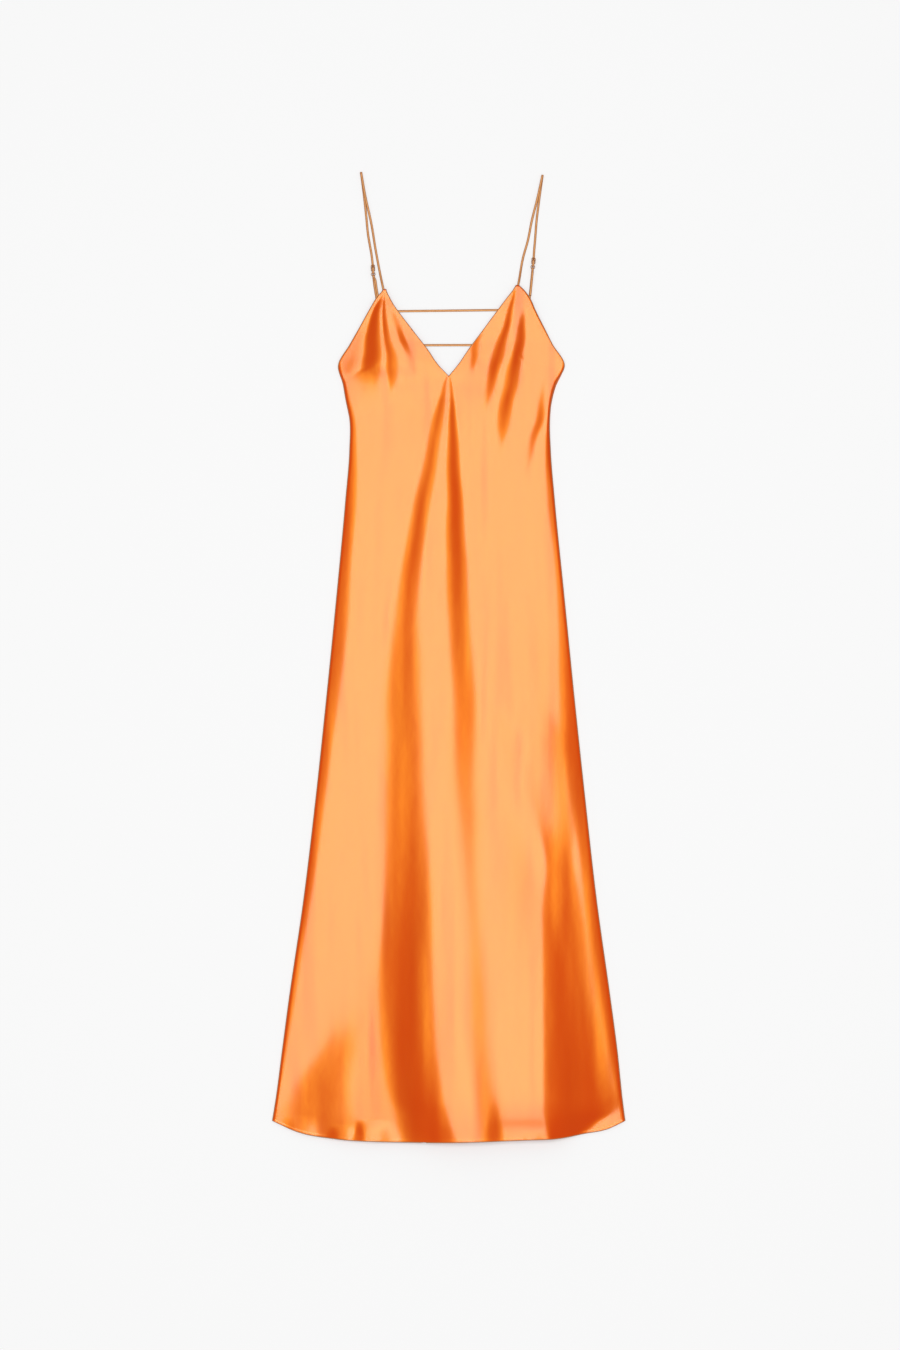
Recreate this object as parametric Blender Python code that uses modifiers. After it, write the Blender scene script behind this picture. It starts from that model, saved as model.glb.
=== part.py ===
"""Satin maxi slip dress laid flat, face up.

Metres. +X is the right of the dress as it is seen, +Y runs from hem to straps and +Z is up from
the surface it lies on. The origin is the middle of the outline, on that surface. In every table
"up" is the height above the lowest point of the hem.
"""
import math

import bmesh
import bpy
import numpy as np
from mathutils import Vector

# ---- Driving sizes -------------------------------------------------------------------------
LENGTH = 1.455            # lowest point of the hem to the top of the left strap
HEM_WIDTH = 0.530         # across the hem's corners
HEM_CORNER = 0.032        # the corners' height above the hem's lowest point
NECK_POINT = 1.149        # height of the V's point
SIDE_TOP = 1.165          # top of the side seams, under the arms
CUP_TOPS = {"left": 1.279, "right": 1.285}

GAP = 0.0003              # between pieces that are sewn together or lie on each other
BACK_CLOTH = 0.0012       # wall of the back
FRONT_CLOTH = 0.0013      # wall of the front
FRONT_REST = BACK_CLOTH + GAP + FRONT_CLOTH   # outer face of the front where it lies on the back
CUP_LIFT = 0.0016         # the cups' points ride this much higher, over the straps' ends

STRAP_WIDTH = 0.0034
STRAP_CLOTH = 0.0011
WIRE = 0.0010             # rings' wire and sliders' plate
RING_RADIUS = 0.0028      # to the middle of the wire
SLIDER_LENGTH = 0.0100
SLIDER_WIDTH = 0.0062
SLIDER_TO_RING = 0.0092   # centre to centre
TURN_REACH = RING_RADIUS - 0.6 * WIRE   # ring's centre to where a strap starts to turn round it

SURFACE_LAYER = STRAP_CLOTH / 2                          # middle of a strap on the surface
WIRE_LAYER = STRAP_CLOTH + GAP + WIRE / 2                # middle of the rings and sliders
TOP_LAYER = WIRE_LAYER + WIRE / 2 + GAP + STRAP_CLOTH / 2  # middle of a strap above them
SECOND_LAYER = 1.5 * STRAP_CLOTH + GAP                   # middle of a strap lying on another

# ---- Outline ----------------------------------------------------------------------------------
# Side seams up to SIDE_TOP, then the armhole edges to the cups' points.
SIDES = (
    # up, left x, right x
    (HEM_CORNER, -HEM_WIDTH / 2, HEM_WIDTH / 2),
    (0.064, -0.2600, 0.2610),
    (0.139, -0.2500, 0.2530),
    (0.214, -0.2400, 0.2430),
    (0.364, -0.2180, 0.2220),
    (0.514, -0.2000, 0.2050),
    (0.664, -0.1840, 0.1890),
    (0.814, -0.1690, 0.1740),
    (0.964, -0.1550, 0.1590),
    (1.039, -0.1490, 0.1530),
    (1.084, -0.1490, 0.1520),
    (1.114, -0.1550, 0.1550),
    (1.137, -0.1590, 0.1610),
    (SIDE_TOP, -0.1660, 0.1740),
    (1.196, -0.1490, 0.1540),
    (1.219, -0.1370, 0.1430),
    (1.249, -0.1200, 0.1290),
    (1.264, -0.1100, 0.1230),
    (1.279, -0.0985, 0.1120),
    (1.285, -0.0965, 0.1055),
)
# Edges of the V.
NECK = (
    # up, left x, right x
    (NECK_POINT, 0.0000, 0.0000),
    (1.166, -0.0160, 0.0140),
    (1.188, -0.0310, 0.0290),
    (1.219, -0.0550, 0.0520),
    (1.264, -0.0870, 0.0855),
    (1.279, -0.0935, 0.0970),
    (1.285, -0.0935, 0.1005),
)
HEM = (
    # x, up
    (-HEM_WIDTH / 2, HEM_CORNER),
    (-0.229, 0.0160),
    (-0.166, 0.0045),
    (-0.105, 0.0010),
    (-0.039, 0.0000),
    (0.047, 0.0015),
    (0.113, 0.0040),
    (0.173, 0.0070),
    (0.206, 0.0130),
    (0.237, 0.0190),
    (HEM_WIDTH / 2, HEM_CORNER),
)
HEM_REACH = 0.200         # the hem's curve has died out in the cloth's rows at this height
BACK_HEM_RISE = 0.0015    # the back is this much shorter than the front
BACK_DIP = 0.034          # the back's top edge is this much lower at the middle than at the sides

# ---- Folds ------------------------------------------------------------------------------------
# Each fold is a flat-topped ridge between two sloping flanks. Every row of a fold is
# up, left foot, left top, right top, right foot, height.
FRONT_FOLDS = {
    # runs down from the V's point and widens to the hem
    "centre": (
        (0.000, -0.070, 0.014, 0.022, 0.100, 0.0026),
        (0.048, -0.090, 0.008, 0.018, 0.096, 0.0032),
        (0.138, -0.104, -0.009, 0.012, 0.080, 0.0025),
        (0.213, -0.114, -0.013, 0.011, 0.075, 0.0023),
        (0.318, -0.116, -0.013, 0.010, 0.066, 0.0016),
        (0.423, -0.116, -0.014, 0.002, 0.060, 0.0016),
        (0.543, -0.113, -0.024, -0.008, 0.055, 0.0023),
        (0.663, -0.110, -0.030, -0.003, 0.050, 0.0030),
        (0.783, -0.094, -0.033, -0.008, 0.038, 0.0032),
        (0.873, -0.075, -0.034, -0.008, 0.031, 0.0038),
        (0.963, -0.0585, -0.0205, -0.0055, 0.0245, 0.0034),
        (1.053, -0.0345, -0.0095, -0.0045, 0.0175, 0.0021),
        (1.113, -0.0175, -0.0034, 0.0000, 0.0100, 0.0009),
        (NECK_POINT, -0.0040, -0.0010, 0.0000, 0.0030, 0.0001),
    ),
    # the skirt's flare, standing up between the centre fold and the right side
    "flare": (
        (0.000, -0.072, 0.018, 0.148, 0.208, 0.0088),
        (0.048, -0.082, -0.001, 0.138, 0.258, 0.0091),
        (0.085, -0.094, -0.007, 0.138, 0.247, 0.0089),
        (0.138, -0.103, -0.016, 0.138, 0.235, 0.0086),
        (0.213, -0.107, -0.019, 0.138, 0.220, 0.0079),
        (0.318, -0.103, -0.019, 0.138, 0.206, 0.0076),
        (0.423, -0.102, -0.020, 0.128, 0.186, 0.0056),
        (0.543, -0.109, -0.026, 0.100, 0.195, 0.0034),
        (0.663, -0.110, -0.030, 0.055, 0.170, 0.0027),
        (0.783, -0.094, -0.033, 0.060, 0.165, 0.0009),
        (0.873, -0.080, -0.030, 0.060, 0.160, 0.0000),
    ),
    # the skirt rises slowly toward the flare's right flank
    "tilt": (
        (0.000, -0.240, 0.110, 0.148, 0.215, 0.0062),
        (0.048, -0.240, 0.110, 0.138, 0.282, 0.0062),
        (0.138, -0.235, 0.110, 0.138, 0.264, 0.0058),
        (0.213, -0.230, 0.110, 0.138, 0.252, 0.0048),
        (0.318, -0.220, 0.110, 0.138, 0.236, 0.0026),
        (0.423, -0.210, 0.110, 0.140, 0.200, 0.0005),
        (0.484, -0.200, 0.105, 0.120, 0.195, 0.0000),
    ),
    # soft rise above the left corner of the hem, which the flare carries on
    "left_rise": (
        (0.000, -0.262, -0.118, 0.150, 0.205, 0.0054),
        (0.048, -0.262, -0.142, 0.138, 0.262, 0.0055),
        (0.085, -0.240, -0.143, 0.138, 0.250, 0.0046),
        (0.138, -0.205, -0.132, 0.138, 0.238, 0.0021),
        (0.185, -0.190, -0.125, 0.138, 0.228, 0.0005),
        (0.225, -0.185, -0.120, 0.138, 0.219, 0.0000),
    ),
    # gather that falls from the left cup's point
    "left_cup": (
        (1.120, -0.1205, -0.0958, -0.0938, -0.0765, 0.0000),
        (1.147, -0.1290, -0.0980, -0.0950, -0.0718, 0.0016),
        (1.1805, -0.1301, -0.0984, -0.0960, -0.0738, 0.0018),
        (1.203, -0.1282, -0.1004, -0.0989, -0.0828, 0.0012),
        (1.248, -0.1145, -0.1016, -0.1001, -0.0926, 0.0007),
        (1.275, -0.0990, -0.0980, -0.0970, -0.0960, 0.0000),
    ),
    # makes its left flank the steeper one
    "left_wedge": (
        (1.145, -0.1420, -0.1010, -0.094, 0.000, 0.0000),
        (1.1805, -0.1292, -0.0986, -0.0950, 0.000, 0.0026),
        (1.203, -0.1270, -0.1004, -0.0985, -0.010, 0.0027),
        (1.2255, -0.1218, -0.1019, -0.0998, -0.030, 0.0019),
        (1.265, -0.1050, -0.0990, -0.0980, -0.070, 0.0000),
    ),
    # soft slope between the left side and the dart
    "under_left": (
        (1.120, -0.150, -0.120, -0.095, 0.000, 0.0000),
        (1.168, -0.166, -0.126, -0.095, 0.000, 0.0014),
        (1.210, -0.146, -0.116, -0.095, 0.000, 0.0007),
        (1.262, -0.112, -0.100, -0.095, -0.060, 0.0000),
    ),
    # gather that falls from the right cup's point
    "right_cup": (
        (1.083, 0.0440, 0.0660, 0.0664, 0.0949, 0.0000),
        (1.113, 0.0469, 0.0701, 0.0746, 0.1001, 0.0008),
        (1.158, 0.0559, 0.0799, 0.0844, 0.1091, 0.0022),
        (1.1805, 0.0610, 0.0870, 0.0919, 0.1121, 0.0023),
        (1.203, 0.0700, 0.0900, 0.0980, 0.1170, 0.0016),
        (1.248, 0.0859, 0.0985, 0.1060, 0.1170, 0.0001),
        (1.277, 0.0990, 0.1010, 0.1050, 0.1070, 0.0000),
    ),
    # makes its left flank the steeper one near the cup's point
    "right_point": (
        (1.200, 0.0700, 0.0900, 0.092, 0.200, 0.0000),
        (1.2255, 0.0795, 0.0955, 0.097, 0.200, 0.0007),
        (1.248, 0.0859, 0.0985, 0.100, 0.200, 0.0010),
        (1.285, 0.0960, 0.1030, 0.104, 0.200, 0.0000),
    ),
    # and carries its right flank on below
    "right_lean": (
        (1.020, -0.060, 0.060, 0.062, 0.0860, 0.0000),
        (1.053, -0.060, 0.066, 0.069, 0.0910, 0.0007),
        (1.083, -0.060, 0.067, 0.0690, 0.0960, 0.0018),
        (1.113, -0.060, 0.070, 0.0746, 0.1001, 0.0017),
        (1.175, -0.060, 0.082, 0.0880, 0.1100, 0.0000),
    ),
    # from under the right arm
    "underarm": (
        (0.985, 0.1040, 0.1260, 0.20, 0.21, 0.0000),
        (1.053, 0.1160, 0.1376, 0.20, 0.21, 0.0010),
        (1.083, 0.1271, 0.1466, 0.20, 0.21, 0.0015),
        (1.150, 0.1370, 0.1480, 0.20, 0.21, 0.0000),
    ),
}
# Arches of the back, inside the hollow of the front's flare. The rest of the back is flat.
BACK_FOLDS = {
    "left_arch": (
        (0.000, -0.040, -0.004, 0.014, 0.052, 0.0034),
        (0.100, -0.044, -0.008, 0.012, 0.050, 0.0030),
        (0.240, -0.048, -0.012, 0.006, 0.042, 0.0020),
        (0.400, -0.046, -0.016, 0.000, 0.032, 0.0010),
        (0.520, -0.044, -0.020, -0.004, 0.026, 0.0000),
    ),
    "right_arch": (
        (0.000, 0.066, 0.104, 0.122, 0.160, 0.0044),
        (0.080, 0.068, 0.104, 0.122, 0.162, 0.0040),
        (0.200, 0.074, 0.108, 0.122, 0.158, 0.0028),
        (0.330, 0.082, 0.112, 0.124, 0.154, 0.0014),
        (0.450, 0.088, 0.114, 0.124, 0.150, 0.0000),
    ),
}
FLANK_ROUNDING = 0.45     # share of a flank that curves into its foot, and again into its top

# The front swells beside each side seam and then falls to lie on the back.
ROLLS = (
    # up, left lift, left rise, left fall, right lift, right rise, right fall
    (0.000, 0.0003, 0.004, 0.060, 0.0004, 0.005, 0.040),
    (0.085, 0.0005, 0.005, 0.100, 0.0010, 0.008, 0.040),
    (0.213, 0.0009, 0.010, 0.110, 0.0018, 0.016, 0.050),
    (0.318, 0.0010, 0.011, 0.120, 0.0020, 0.018, 0.060),
    (0.423, 0.0013, 0.015, 0.120, 0.0022, 0.020, 0.080),
    (0.543, 0.0015, 0.018, 0.120, 0.0024, 0.026, 0.110),
    (0.663, 0.0019, 0.023, 0.120, 0.0024, 0.027, 0.120),
    (0.783, 0.0021, 0.026, 0.130, 0.0012, 0.016, 0.130),
    (0.963, 0.0020, 0.020, 0.130, 0.0010, 0.014, 0.120),
    (1.040, 0.0012, 0.013, 0.120, 0.0008, 0.008, 0.100),
    (1.080, 0.0009, 0.010, 0.080, 0.0004, 0.004, 0.060),
    (SIDE_TOP, 0.0002, 0.004, 0.040, 0.0002, 0.004, 0.040),
    (1.300, 0.0001, 0.003, 0.020, 0.0001, 0.003, 0.020),
)

# ---- Straps -----------------------------------------------------------------------------------
# Where each leg runs. The front leg ends under the cup's point. The back leg goes through the
# slider to the ring, and the tab follows its lower rows to the back's top edge. Every point
# is up, x.
LEGS = {
    "left": {
        "front": ((1.2585, -0.0934), (1.2885, -0.1001), (1.335, -0.1091), (1.380, -0.1166),
                  (1.4175, -0.1241), (1.4550, -0.1316)),
        "back": ((1.120, -0.0870), (1.203, -0.0986), (1.266, -0.1084), (1.2855, -0.1115),
                 (1.3015, -0.1132), (1.3125, -0.1138), (1.325, -0.1150), (1.362, -0.1211),
                 (1.389, -0.1241), (1.4205, -0.1279), (1.4550, -0.1316)),
    },
    "right": {
        "front": ((1.2630, 0.0980), (1.2848, 0.1039), (1.326, 0.1114), (1.353, 0.1189),
                  (1.380, 0.1234), (1.416, 0.1324), (1.4508, 0.1408)),
        "back": ((1.120, 0.1040), (1.1955, 0.1140), (1.263, 0.1211), (1.293, 0.1241),
                 (1.3098, 0.1258), (1.3208, 0.1270), (1.335, 0.1280), (1.362, 0.1302),
                 (1.376, 0.1320), (1.410, 0.1361), (1.4508, 0.1408)),
    },
}
SLIDERS_UP = {"left": 1.3107, "right": 1.3215}
TAB_SPREAD = {"left": 0.0024, "right": 0.0004}   # sideways shift of a tab's upper layer
TAB_DOUBLED = 0.0430      # ring's centre to the cut end of the tab's upper layer
LEGS_PART = 0.047         # below this far from the tip the legs lie side by side
# The straps across the open back.
LADDERS = (
    # name, up at the left tab, up at the right tab
    ("ladder_upper", 1.2458, 1.2483),
    ("ladder_lower", 1.1950, 1.1955),
)

# ---- Meshing ----------------------------------------------------------------------------------
HALF_COLUMNS = 17         # cells across each half of the front
BACK_COLUMNS = 26
# Bands of even rows of cells: from up, to up, rows.
FRONT_ROWS = ((0.0, 0.84, 21), (0.84, NECK_POINT, 16), (NECK_POINT, SIDE_TOP, 1))
CUP_ROWS = 10
BACK_ROWS = ((0.0, 0.54, 12), (0.54, SIDE_TOP, 6))
COLUMNS_PER_FLANK = 2.5   # a flank of full height draws this many columns of cells
FULL_FLANK = 0.0024       # height at which it does


# ---- Curves through table rows ----------------------------------------------------------------
def smooth_rows(rows, at):
    """Every column after the first, as smooth curves through the rows."""
    rows = np.array(sorted(rows))
    keys = rows[:, 0]
    at = np.clip(at, keys[0], keys[-1])
    row = np.clip(np.searchsorted(keys, at) - 1, 0, len(keys) - 2)
    span = keys[row + 1] - keys[row]
    t = (at - keys[row]) / span
    blend = t * t * (3 - 2 * t)
    leaving = t * (1 - t) ** 2 * span
    arriving = t * t * (t - 1) * span
    curves = []
    for values in rows[:, 1:].T:
        slopes = np.gradient(values, keys)
        curves.append(values[row] + (values[row + 1] - values[row]) * blend
                      + leaving * slopes[row] + arriving * slopes[row + 1])
    return curves


def eased(at, rows):
    """Height along a strap: level at each row, with soft steps between the rows."""
    keys = [key for key, _ in rows]
    row = int(np.clip(np.searchsorted(keys, at) - 1, 0, len(keys) - 2))
    t = np.clip((at - keys[row]) / (keys[row + 1] - keys[row]), 0, 1)
    return rows[row][1] + (rows[row + 1][1] - rows[row][1]) * t * t * (3 - 2 * t)


def soft_step(t):
    """0 to 1, straight in the middle and rounded at both ends."""
    t = np.clip(t, 0, 1)
    r = FLANK_ROUNDING
    low = t * t / (2 * r * (1 - r))
    middle = (t - r / 2) / (1 - r)
    high = 1 - (1 - t) ** 2 / (2 * r * (1 - r))
    return np.where(t < r, low, np.where(t > 1 - r, high, middle))


# ---- The cloth's height -----------------------------------------------------------------------
def fold_lift(rows, x, up):
    left_foot, left_top, right_top, right_foot, height = smooth_rows(rows, up)
    rise = soft_step((x - left_foot) / (left_top - left_foot))
    fall = soft_step((x - right_top) / (right_foot - right_top))
    ups = [row[0] for row in rows]
    within = (up >= min(ups)) & (up <= max(ups))
    return np.where(within, np.maximum(height, 0) * rise * (1 - fall), 0)


def side_roll(distance, lift, rise, fall):
    """The swelling beside a seam, and how far the cloth has come up from the seam, 0 to 1."""
    come_up = np.sin(np.pi / 2 * np.clip(distance / rise, 0, 1))
    going_down = 0.5 + 0.5 * np.cos(np.pi * np.clip((distance - rise) / fall, 0, 1))
    return lift * come_up * going_down, come_up


def front_height(x, up):
    left, right = smooth_rows(SIDES, up)
    left_lift, left_rise, left_fall, right_lift, right_rise, right_fall = smooth_rows(ROLLS, up)
    left_roll, left_share = side_roll(x - left, left_lift, left_rise, left_fall)
    right_roll, right_share = side_roll(right - x, right_lift, right_rise, right_fall)
    folds = sum(fold_lift(rows, x, up) for rows in FRONT_FOLDS.values())
    cup = CUP_LIFT * soft_step((up - 1.210) / 0.045)
    return FRONT_REST + cup + folds * left_share * right_share + left_roll + right_roll


def back_height(x, up):
    return BACK_CLOTH + sum(fold_lift(rows, x, up) for rows in BACK_FOLDS.values())


# ---- The cloth's rows and columns -------------------------------------------------------------
def row_levels(bands):
    levels = [bands[0][0]]
    for start, end, rows in bands:
        levels += [start + (end - start) * (k + 1) / rows for k in range(rows)]
    return levels


def hem_share(level):
    """How much of the hem's curve a row still follows."""
    return max(0.0, 1 - level / HEM_REACH) ** 2


def crowded_columns(level, start, end, folds, fractions):
    """x of each column from start to end, closer together on the folds' flanks."""
    samples = np.linspace(start, end, 240)
    count = (samples - start) / (end - start) * HALF_COLUMNS / 2
    for rows in folds.values():
        left_foot, left_top, right_top, right_foot, height = smooth_rows(rows, level)
        drawn = COLUMNS_PER_FLANK * min(1.0, max(0.0, height) / FULL_FLANK)
        count = count + drawn * np.clip((samples - left_foot) / (left_top - left_foot), 0, 1)
        count = count + drawn * np.clip((samples - right_top) / (right_foot - right_top), 0, 1)
    wanted = count[0] + (count[-1] - count[0]) * np.asarray(fractions)
    return np.interp(wanted, count, samples)


def side_up(level):
    return level + HEM_CORNER * hem_share(level)


def hem_line(x):
    return smooth_rows(HEM, x)[0]


def back_top_drop(x):
    """How far the back's top edge lies below the tops of the side seams."""
    left, right = smooth_rows(SIDES, SIDE_TOP)
    across = (2 * x - left - right) / (right - left)
    return BACK_DIP * (1 - across * across)


def place(x, up, height):
    """A point of the tables in the dress's frame."""
    return Vector((x, up - LENGTH / 2, height))


# ---- Building blocks --------------------------------------------------------------------------
def mapped_grid(bm, rows):
    """A sheet of cells whose corners are the points in rows, a list of equal rows."""
    across = len(rows[0]) - 1
    along = len(rows) - 1
    made = bmesh.ops.create_grid(bm, x_segments=across, y_segments=along, size=0.5)
    for vert in made["verts"]:
        column = round((vert.co.x + 0.5) * across)
        row = round((vert.co.y + 0.5) * along)
        vert.co = rows[row][column]


def add_object(name, mesh, material, collection):
    obj = bpy.data.objects.new(name, mesh)
    obj.data.materials.append(material)
    collection.objects.link(obj)
    return obj


def sheet_object(name, sheets, thickness, offset, material, collection):
    """One object from sheets of points, merged where they share an edge and thickened."""
    bm = bmesh.new()
    for rows in sheets:
        mapped_grid(bm, rows)
    bmesh.ops.remove_doubles(bm, verts=bm.verts, dist=1e-6)
    bmesh.ops.recalc_face_normals(bm, faces=bm.faces)
    mesh = bpy.data.meshes.new(name)
    bm.to_mesh(mesh)
    bm.free()
    mesh.shade_smooth()
    obj = add_object(name, mesh, material, collection)
    wall = obj.modifiers.new("Wall", "SOLIDIFY")
    wall.thickness = thickness
    wall.offset = offset
    wall.use_even_offset = True
    return obj


def ribbon(name, stations, material, collection):
    """A strap: a strip whose stations are (middle, direction across), thickened both ways."""
    half = STRAP_WIDTH / 2
    rows = [(middle - across * half, middle + across * half) for middle, across in stations]
    return sheet_object(name, [rows], STRAP_CLOTH, 0.0, material, collection)


def fabric(name, colour):
    material = bpy.data.materials.new(name)
    material.use_nodes = True
    shader = material.node_tree.nodes["Principled BSDF"]
    shader.inputs["Base Color"].default_value = colour
    shader.inputs["Roughness"].default_value = 0.35
    shader.inputs["Metallic"].default_value = 0.0
    return material


def metal(name, colour):
    material = bpy.data.materials.new(name)
    material.use_nodes = True
    shader = material.node_tree.nodes["Principled BSDF"]
    shader.inputs["Base Color"].default_value = colour
    shader.inputs["Roughness"].default_value = 0.25
    shader.inputs["Metallic"].default_value = 1.0
    return material


# ---- Front and back ---------------------------------------------------------------------------
def half_rows(side):
    """Rows of points of one half of the front, hem to cup point, left to right."""
    fractions = np.linspace(0, 1, HALF_COLUMNS + 1)
    cup_top = CUP_TOPS[side]
    rows = []
    for level in row_levels(FRONT_ROWS + ((SIDE_TOP, cup_top, CUP_ROWS),)):
        left, right = smooth_rows(SIDES, side_up(level))
        neck_left, neck_right = smooth_rows(NECK, level)
        start, end = (left, neck_left) if side == "left" else (neck_right, right)
        row = []
        for x in crowded_columns(level, start, end, FRONT_FOLDS, fractions):
            up = level + hem_line(x) * hem_share(level)
            row.append(place(x, up, front_height(x, up)))
        rows.append(row)
    return rows


def build_front(material, collection):
    sheets = [half_rows("left"), half_rows("right")]
    return sheet_object("front", sheets, FRONT_CLOTH, -1.0, material, collection)


def build_back(material, collection):
    fractions = np.linspace(0, 1, BACK_COLUMNS + 1)
    rows = []
    for level in row_levels(BACK_ROWS):
        left, right = smooth_rows(SIDES, side_up(level))
        top_share = max(0.0, (level - 0.900) / (SIDE_TOP - 0.900)) ** 2
        row = []
        for x in crowded_columns(level, left, right, BACK_FOLDS, fractions):
            up = level + (hem_line(x) + BACK_HEM_RISE) * hem_share(level)
            up -= back_top_drop(x) * top_share
            row.append(place(x, up, back_height(x, up)))
        rows.append(row)
    return sheet_object("back", [rows], BACK_CLOTH, -1.0, material, collection)


# ---- Straps, tabs and ladder straps -----------------------------------------------------------
def leg_x(side, leg, up):
    return float(smooth_rows(LEGS[side][leg], up)[0])


def leg_slope(side, leg, up):
    """Sideways shift of a leg for each unit up."""
    step = 0.001
    return (leg_x(side, leg, up + step) - leg_x(side, leg, up - step)) / (2 * step)


def leg_station(side, share, up, height, shift=0.0):
    """A strap's middle and its direction across, share of the way from front leg to back leg."""
    x = (1 - share) * leg_x(side, "front", up) + share * leg_x(side, "back", up)
    slope = (1 - share) * leg_slope(side, "front", up) + share * leg_slope(side, "back", up)
    return place(x + shift, up, height), Vector((1, -slope, 0)).normalized()


def turn(centre_up, low, high, toward):
    """(up, height) round a half circle from high to low, bulging up (+1) or down (-1)."""
    radius = (high - low) / 2
    steps = 6
    angles = [math.pi * k / steps for k in range(steps + 1)]
    return [(centre_up + toward * radius * math.sin(a), (high + low) / 2 + radius * math.cos(a))
            for a in angles]


def build_strap(side, material, collection):
    slider = SLIDERS_UP[side]
    ring = slider - SLIDER_TO_RING
    tip = LEGS[side]["front"][-1][0]
    end = LEGS[side]["front"][0][0]
    cup_top = CUP_TOPS[side]
    tucked = FRONT_REST + CUP_LIFT - FRONT_CLOTH - GAP - STRAP_CLOTH / 2
    front_heights = ((end, tucked), (cup_top, tucked), (cup_top + 0.030, SURFACE_LAYER),
                     (tip - LEGS_PART - 0.025, SURFACE_LAYER), (tip - LEGS_PART, SECOND_LAYER),
                     (tip, SECOND_LAYER))
    fold = tip - STRAP_CLOTH / 2 - (SECOND_LAYER - SURFACE_LAYER) / 2
    stations = []
    for up in np.linspace(end, fold, 26)[:-1]:
        stations.append(leg_station(side, 0.0, up, eased(up, front_heights)))
    tip_turn = turn(fold, SURFACE_LAYER, SECOND_LAYER, 1)
    for k, (up, height) in enumerate(tip_turn):
        stations.append(leg_station(side, k / (len(tip_turn) - 1), up, height))
    top_bar = slider + 0.4 * SLIDER_LENGTH
    mid_bar = slider + 0.05 * SLIDER_LENGTH
    for up in np.linspace(fold, top_bar, 16)[1:]:
        stations.append(leg_station(side, 1.0, up, SURFACE_LAYER))
    weave = ((mid_bar, TOP_LAYER), (top_bar, SURFACE_LAYER))
    for up in np.linspace(top_bar, mid_bar, 9)[1:]:
        stations.append(leg_station(side, 1.0, up, eased(up, weave)))
    stations.append(leg_station(side, 1.0, slider - 0.4 * SLIDER_LENGTH, TOP_LAYER))
    for up, height in turn(ring + TURN_REACH, SURFACE_LAYER, TOP_LAYER, -1):
        stations.append(leg_station(side, 1.0, up, height))
    stations.append(leg_station(side, 1.0, slider - 0.4 * SLIDER_LENGTH, SURFACE_LAYER))
    stations.append(leg_station(side, 1.0, slider + 0.08 * SLIDER_LENGTH, SURFACE_LAYER))
    return ribbon("strap_" + side, stations, material, collection)


def build_tab(side, material, collection):
    ring = SLIDERS_UP[side] - SLIDER_TO_RING
    bend = ring - TURN_REACH
    cut_end = ring - TAB_DOUBLED
    upper = ((cut_end, SECOND_LAYER), (bend - 0.008, SECOND_LAYER), (bend, TOP_LAYER))
    spread = ((cut_end, TAB_SPREAD[side]), (bend - 0.008, TAB_SPREAD[side]), (bend, 0.0))
    stations = []
    for up in np.linspace(cut_end, bend, 14)[:-1]:
        stations.append(leg_station(side, 1.0, up, eased(up, upper), eased(up, spread)))
    for up, height in turn(bend, SURFACE_LAYER, TOP_LAYER, 1):
        stations.append(leg_station(side, 1.0, up, height))
    x = leg_x(side, "back", SIDE_TOP)
    seam = SIDE_TOP - back_top_drop(x) + 2 * GAP
    for up in np.linspace(bend, seam, 12)[1:]:
        stations.append(leg_station(side, 1.0, up, SURFACE_LAYER))
    return ribbon("tab_" + side, stations, material, collection)


def build_ladder(name, left_up, right_up, material, collection):
    """A strap across the open back, from tab to tab."""
    clear = STRAP_WIDTH / 2 + 2 * GAP
    left = place(leg_x("left", "back", left_up) + clear, left_up, SURFACE_LAYER)
    right = place(leg_x("right", "back", right_up) - clear, right_up, SURFACE_LAYER)
    along = (right - left).normalized()
    across = Vector((along.y, -along.x, 0))
    stations = [(left.lerp(right, k / 8), across) for k in range(9)]
    return ribbon(name, stations, material, collection)


# ---- Rings and sliders ------------------------------------------------------------------------
def hardware_turn(side, up):
    return -math.atan(leg_slope(side, "back", up))


def build_ring(side, material, collection):
    up = SLIDERS_UP[side] - SLIDER_TO_RING
    bpy.ops.mesh.primitive_torus_add(
        major_segments=20, minor_segments=8, major_radius=RING_RADIUS, minor_radius=WIRE / 2,
        location=place(leg_x(side, "back", up), up, WIRE_LAYER))
    ring = bpy.context.object
    ring.name = "ring_" + side
    ring.data.name = ring.name
    ring.data.shade_smooth()
    ring.data.materials.append(material)
    for other in list(ring.users_collection):
        other.objects.unlink(ring)
    collection.objects.link(ring)
    return ring


def rounded_rectangle(curve, centre_y, width, length, radius):
    spline = curve.splines.new("POLY")
    points = []
    for corner, (x, y) in enumerate(((1, 1), (-1, 1), (-1, -1), (1, -1))):
        for k in range(4):
            angle = math.pi / 2 * (corner + k / 3)
            points.append((x * (width / 2 - radius) + radius * math.cos(angle),
                           centre_y + y * (length / 2 - radius) + radius * math.sin(angle)))
    spline.points.add(len(points) - 1)
    for point, (x, y) in zip(spline.points, points):
        point.co = (x, y, 0, 1)
    spline.use_cyclic_u = True


def build_slider(side, material, collection):
    """A flat plate with two slots, one on each side of its middle bar."""
    up = SLIDERS_UP[side]
    name = "slider_" + side
    curve = bpy.data.curves.new(name, "CURVE")
    curve.dimensions = "2D"
    curve.fill_mode = "BOTH"
    curve.extrude = WIRE / 2
    rounded_rectangle(curve, 0.0, SLIDER_WIDTH, SLIDER_LENGTH, 0.0016)
    slot_length = (SLIDER_LENGTH - 3 * WIRE) / 2
    for way in (1, -1):
        slot_y = way * (slot_length + WIRE) / 2
        rounded_rectangle(curve, slot_y, SLIDER_WIDTH - 2 * WIRE, slot_length, 0.0005)
    slider = add_object(name, curve, material, collection)
    slider.location = place(leg_x(side, "back", up), up, WIRE_LAYER)
    slider.rotation_euler.z = hardware_turn(side, up)
    return slider


# ---- The dress --------------------------------------------------------------------------------
def clear_scene():
    for obj in list(bpy.data.objects):
        bpy.data.objects.remove(obj, do_unlink=True)


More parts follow.
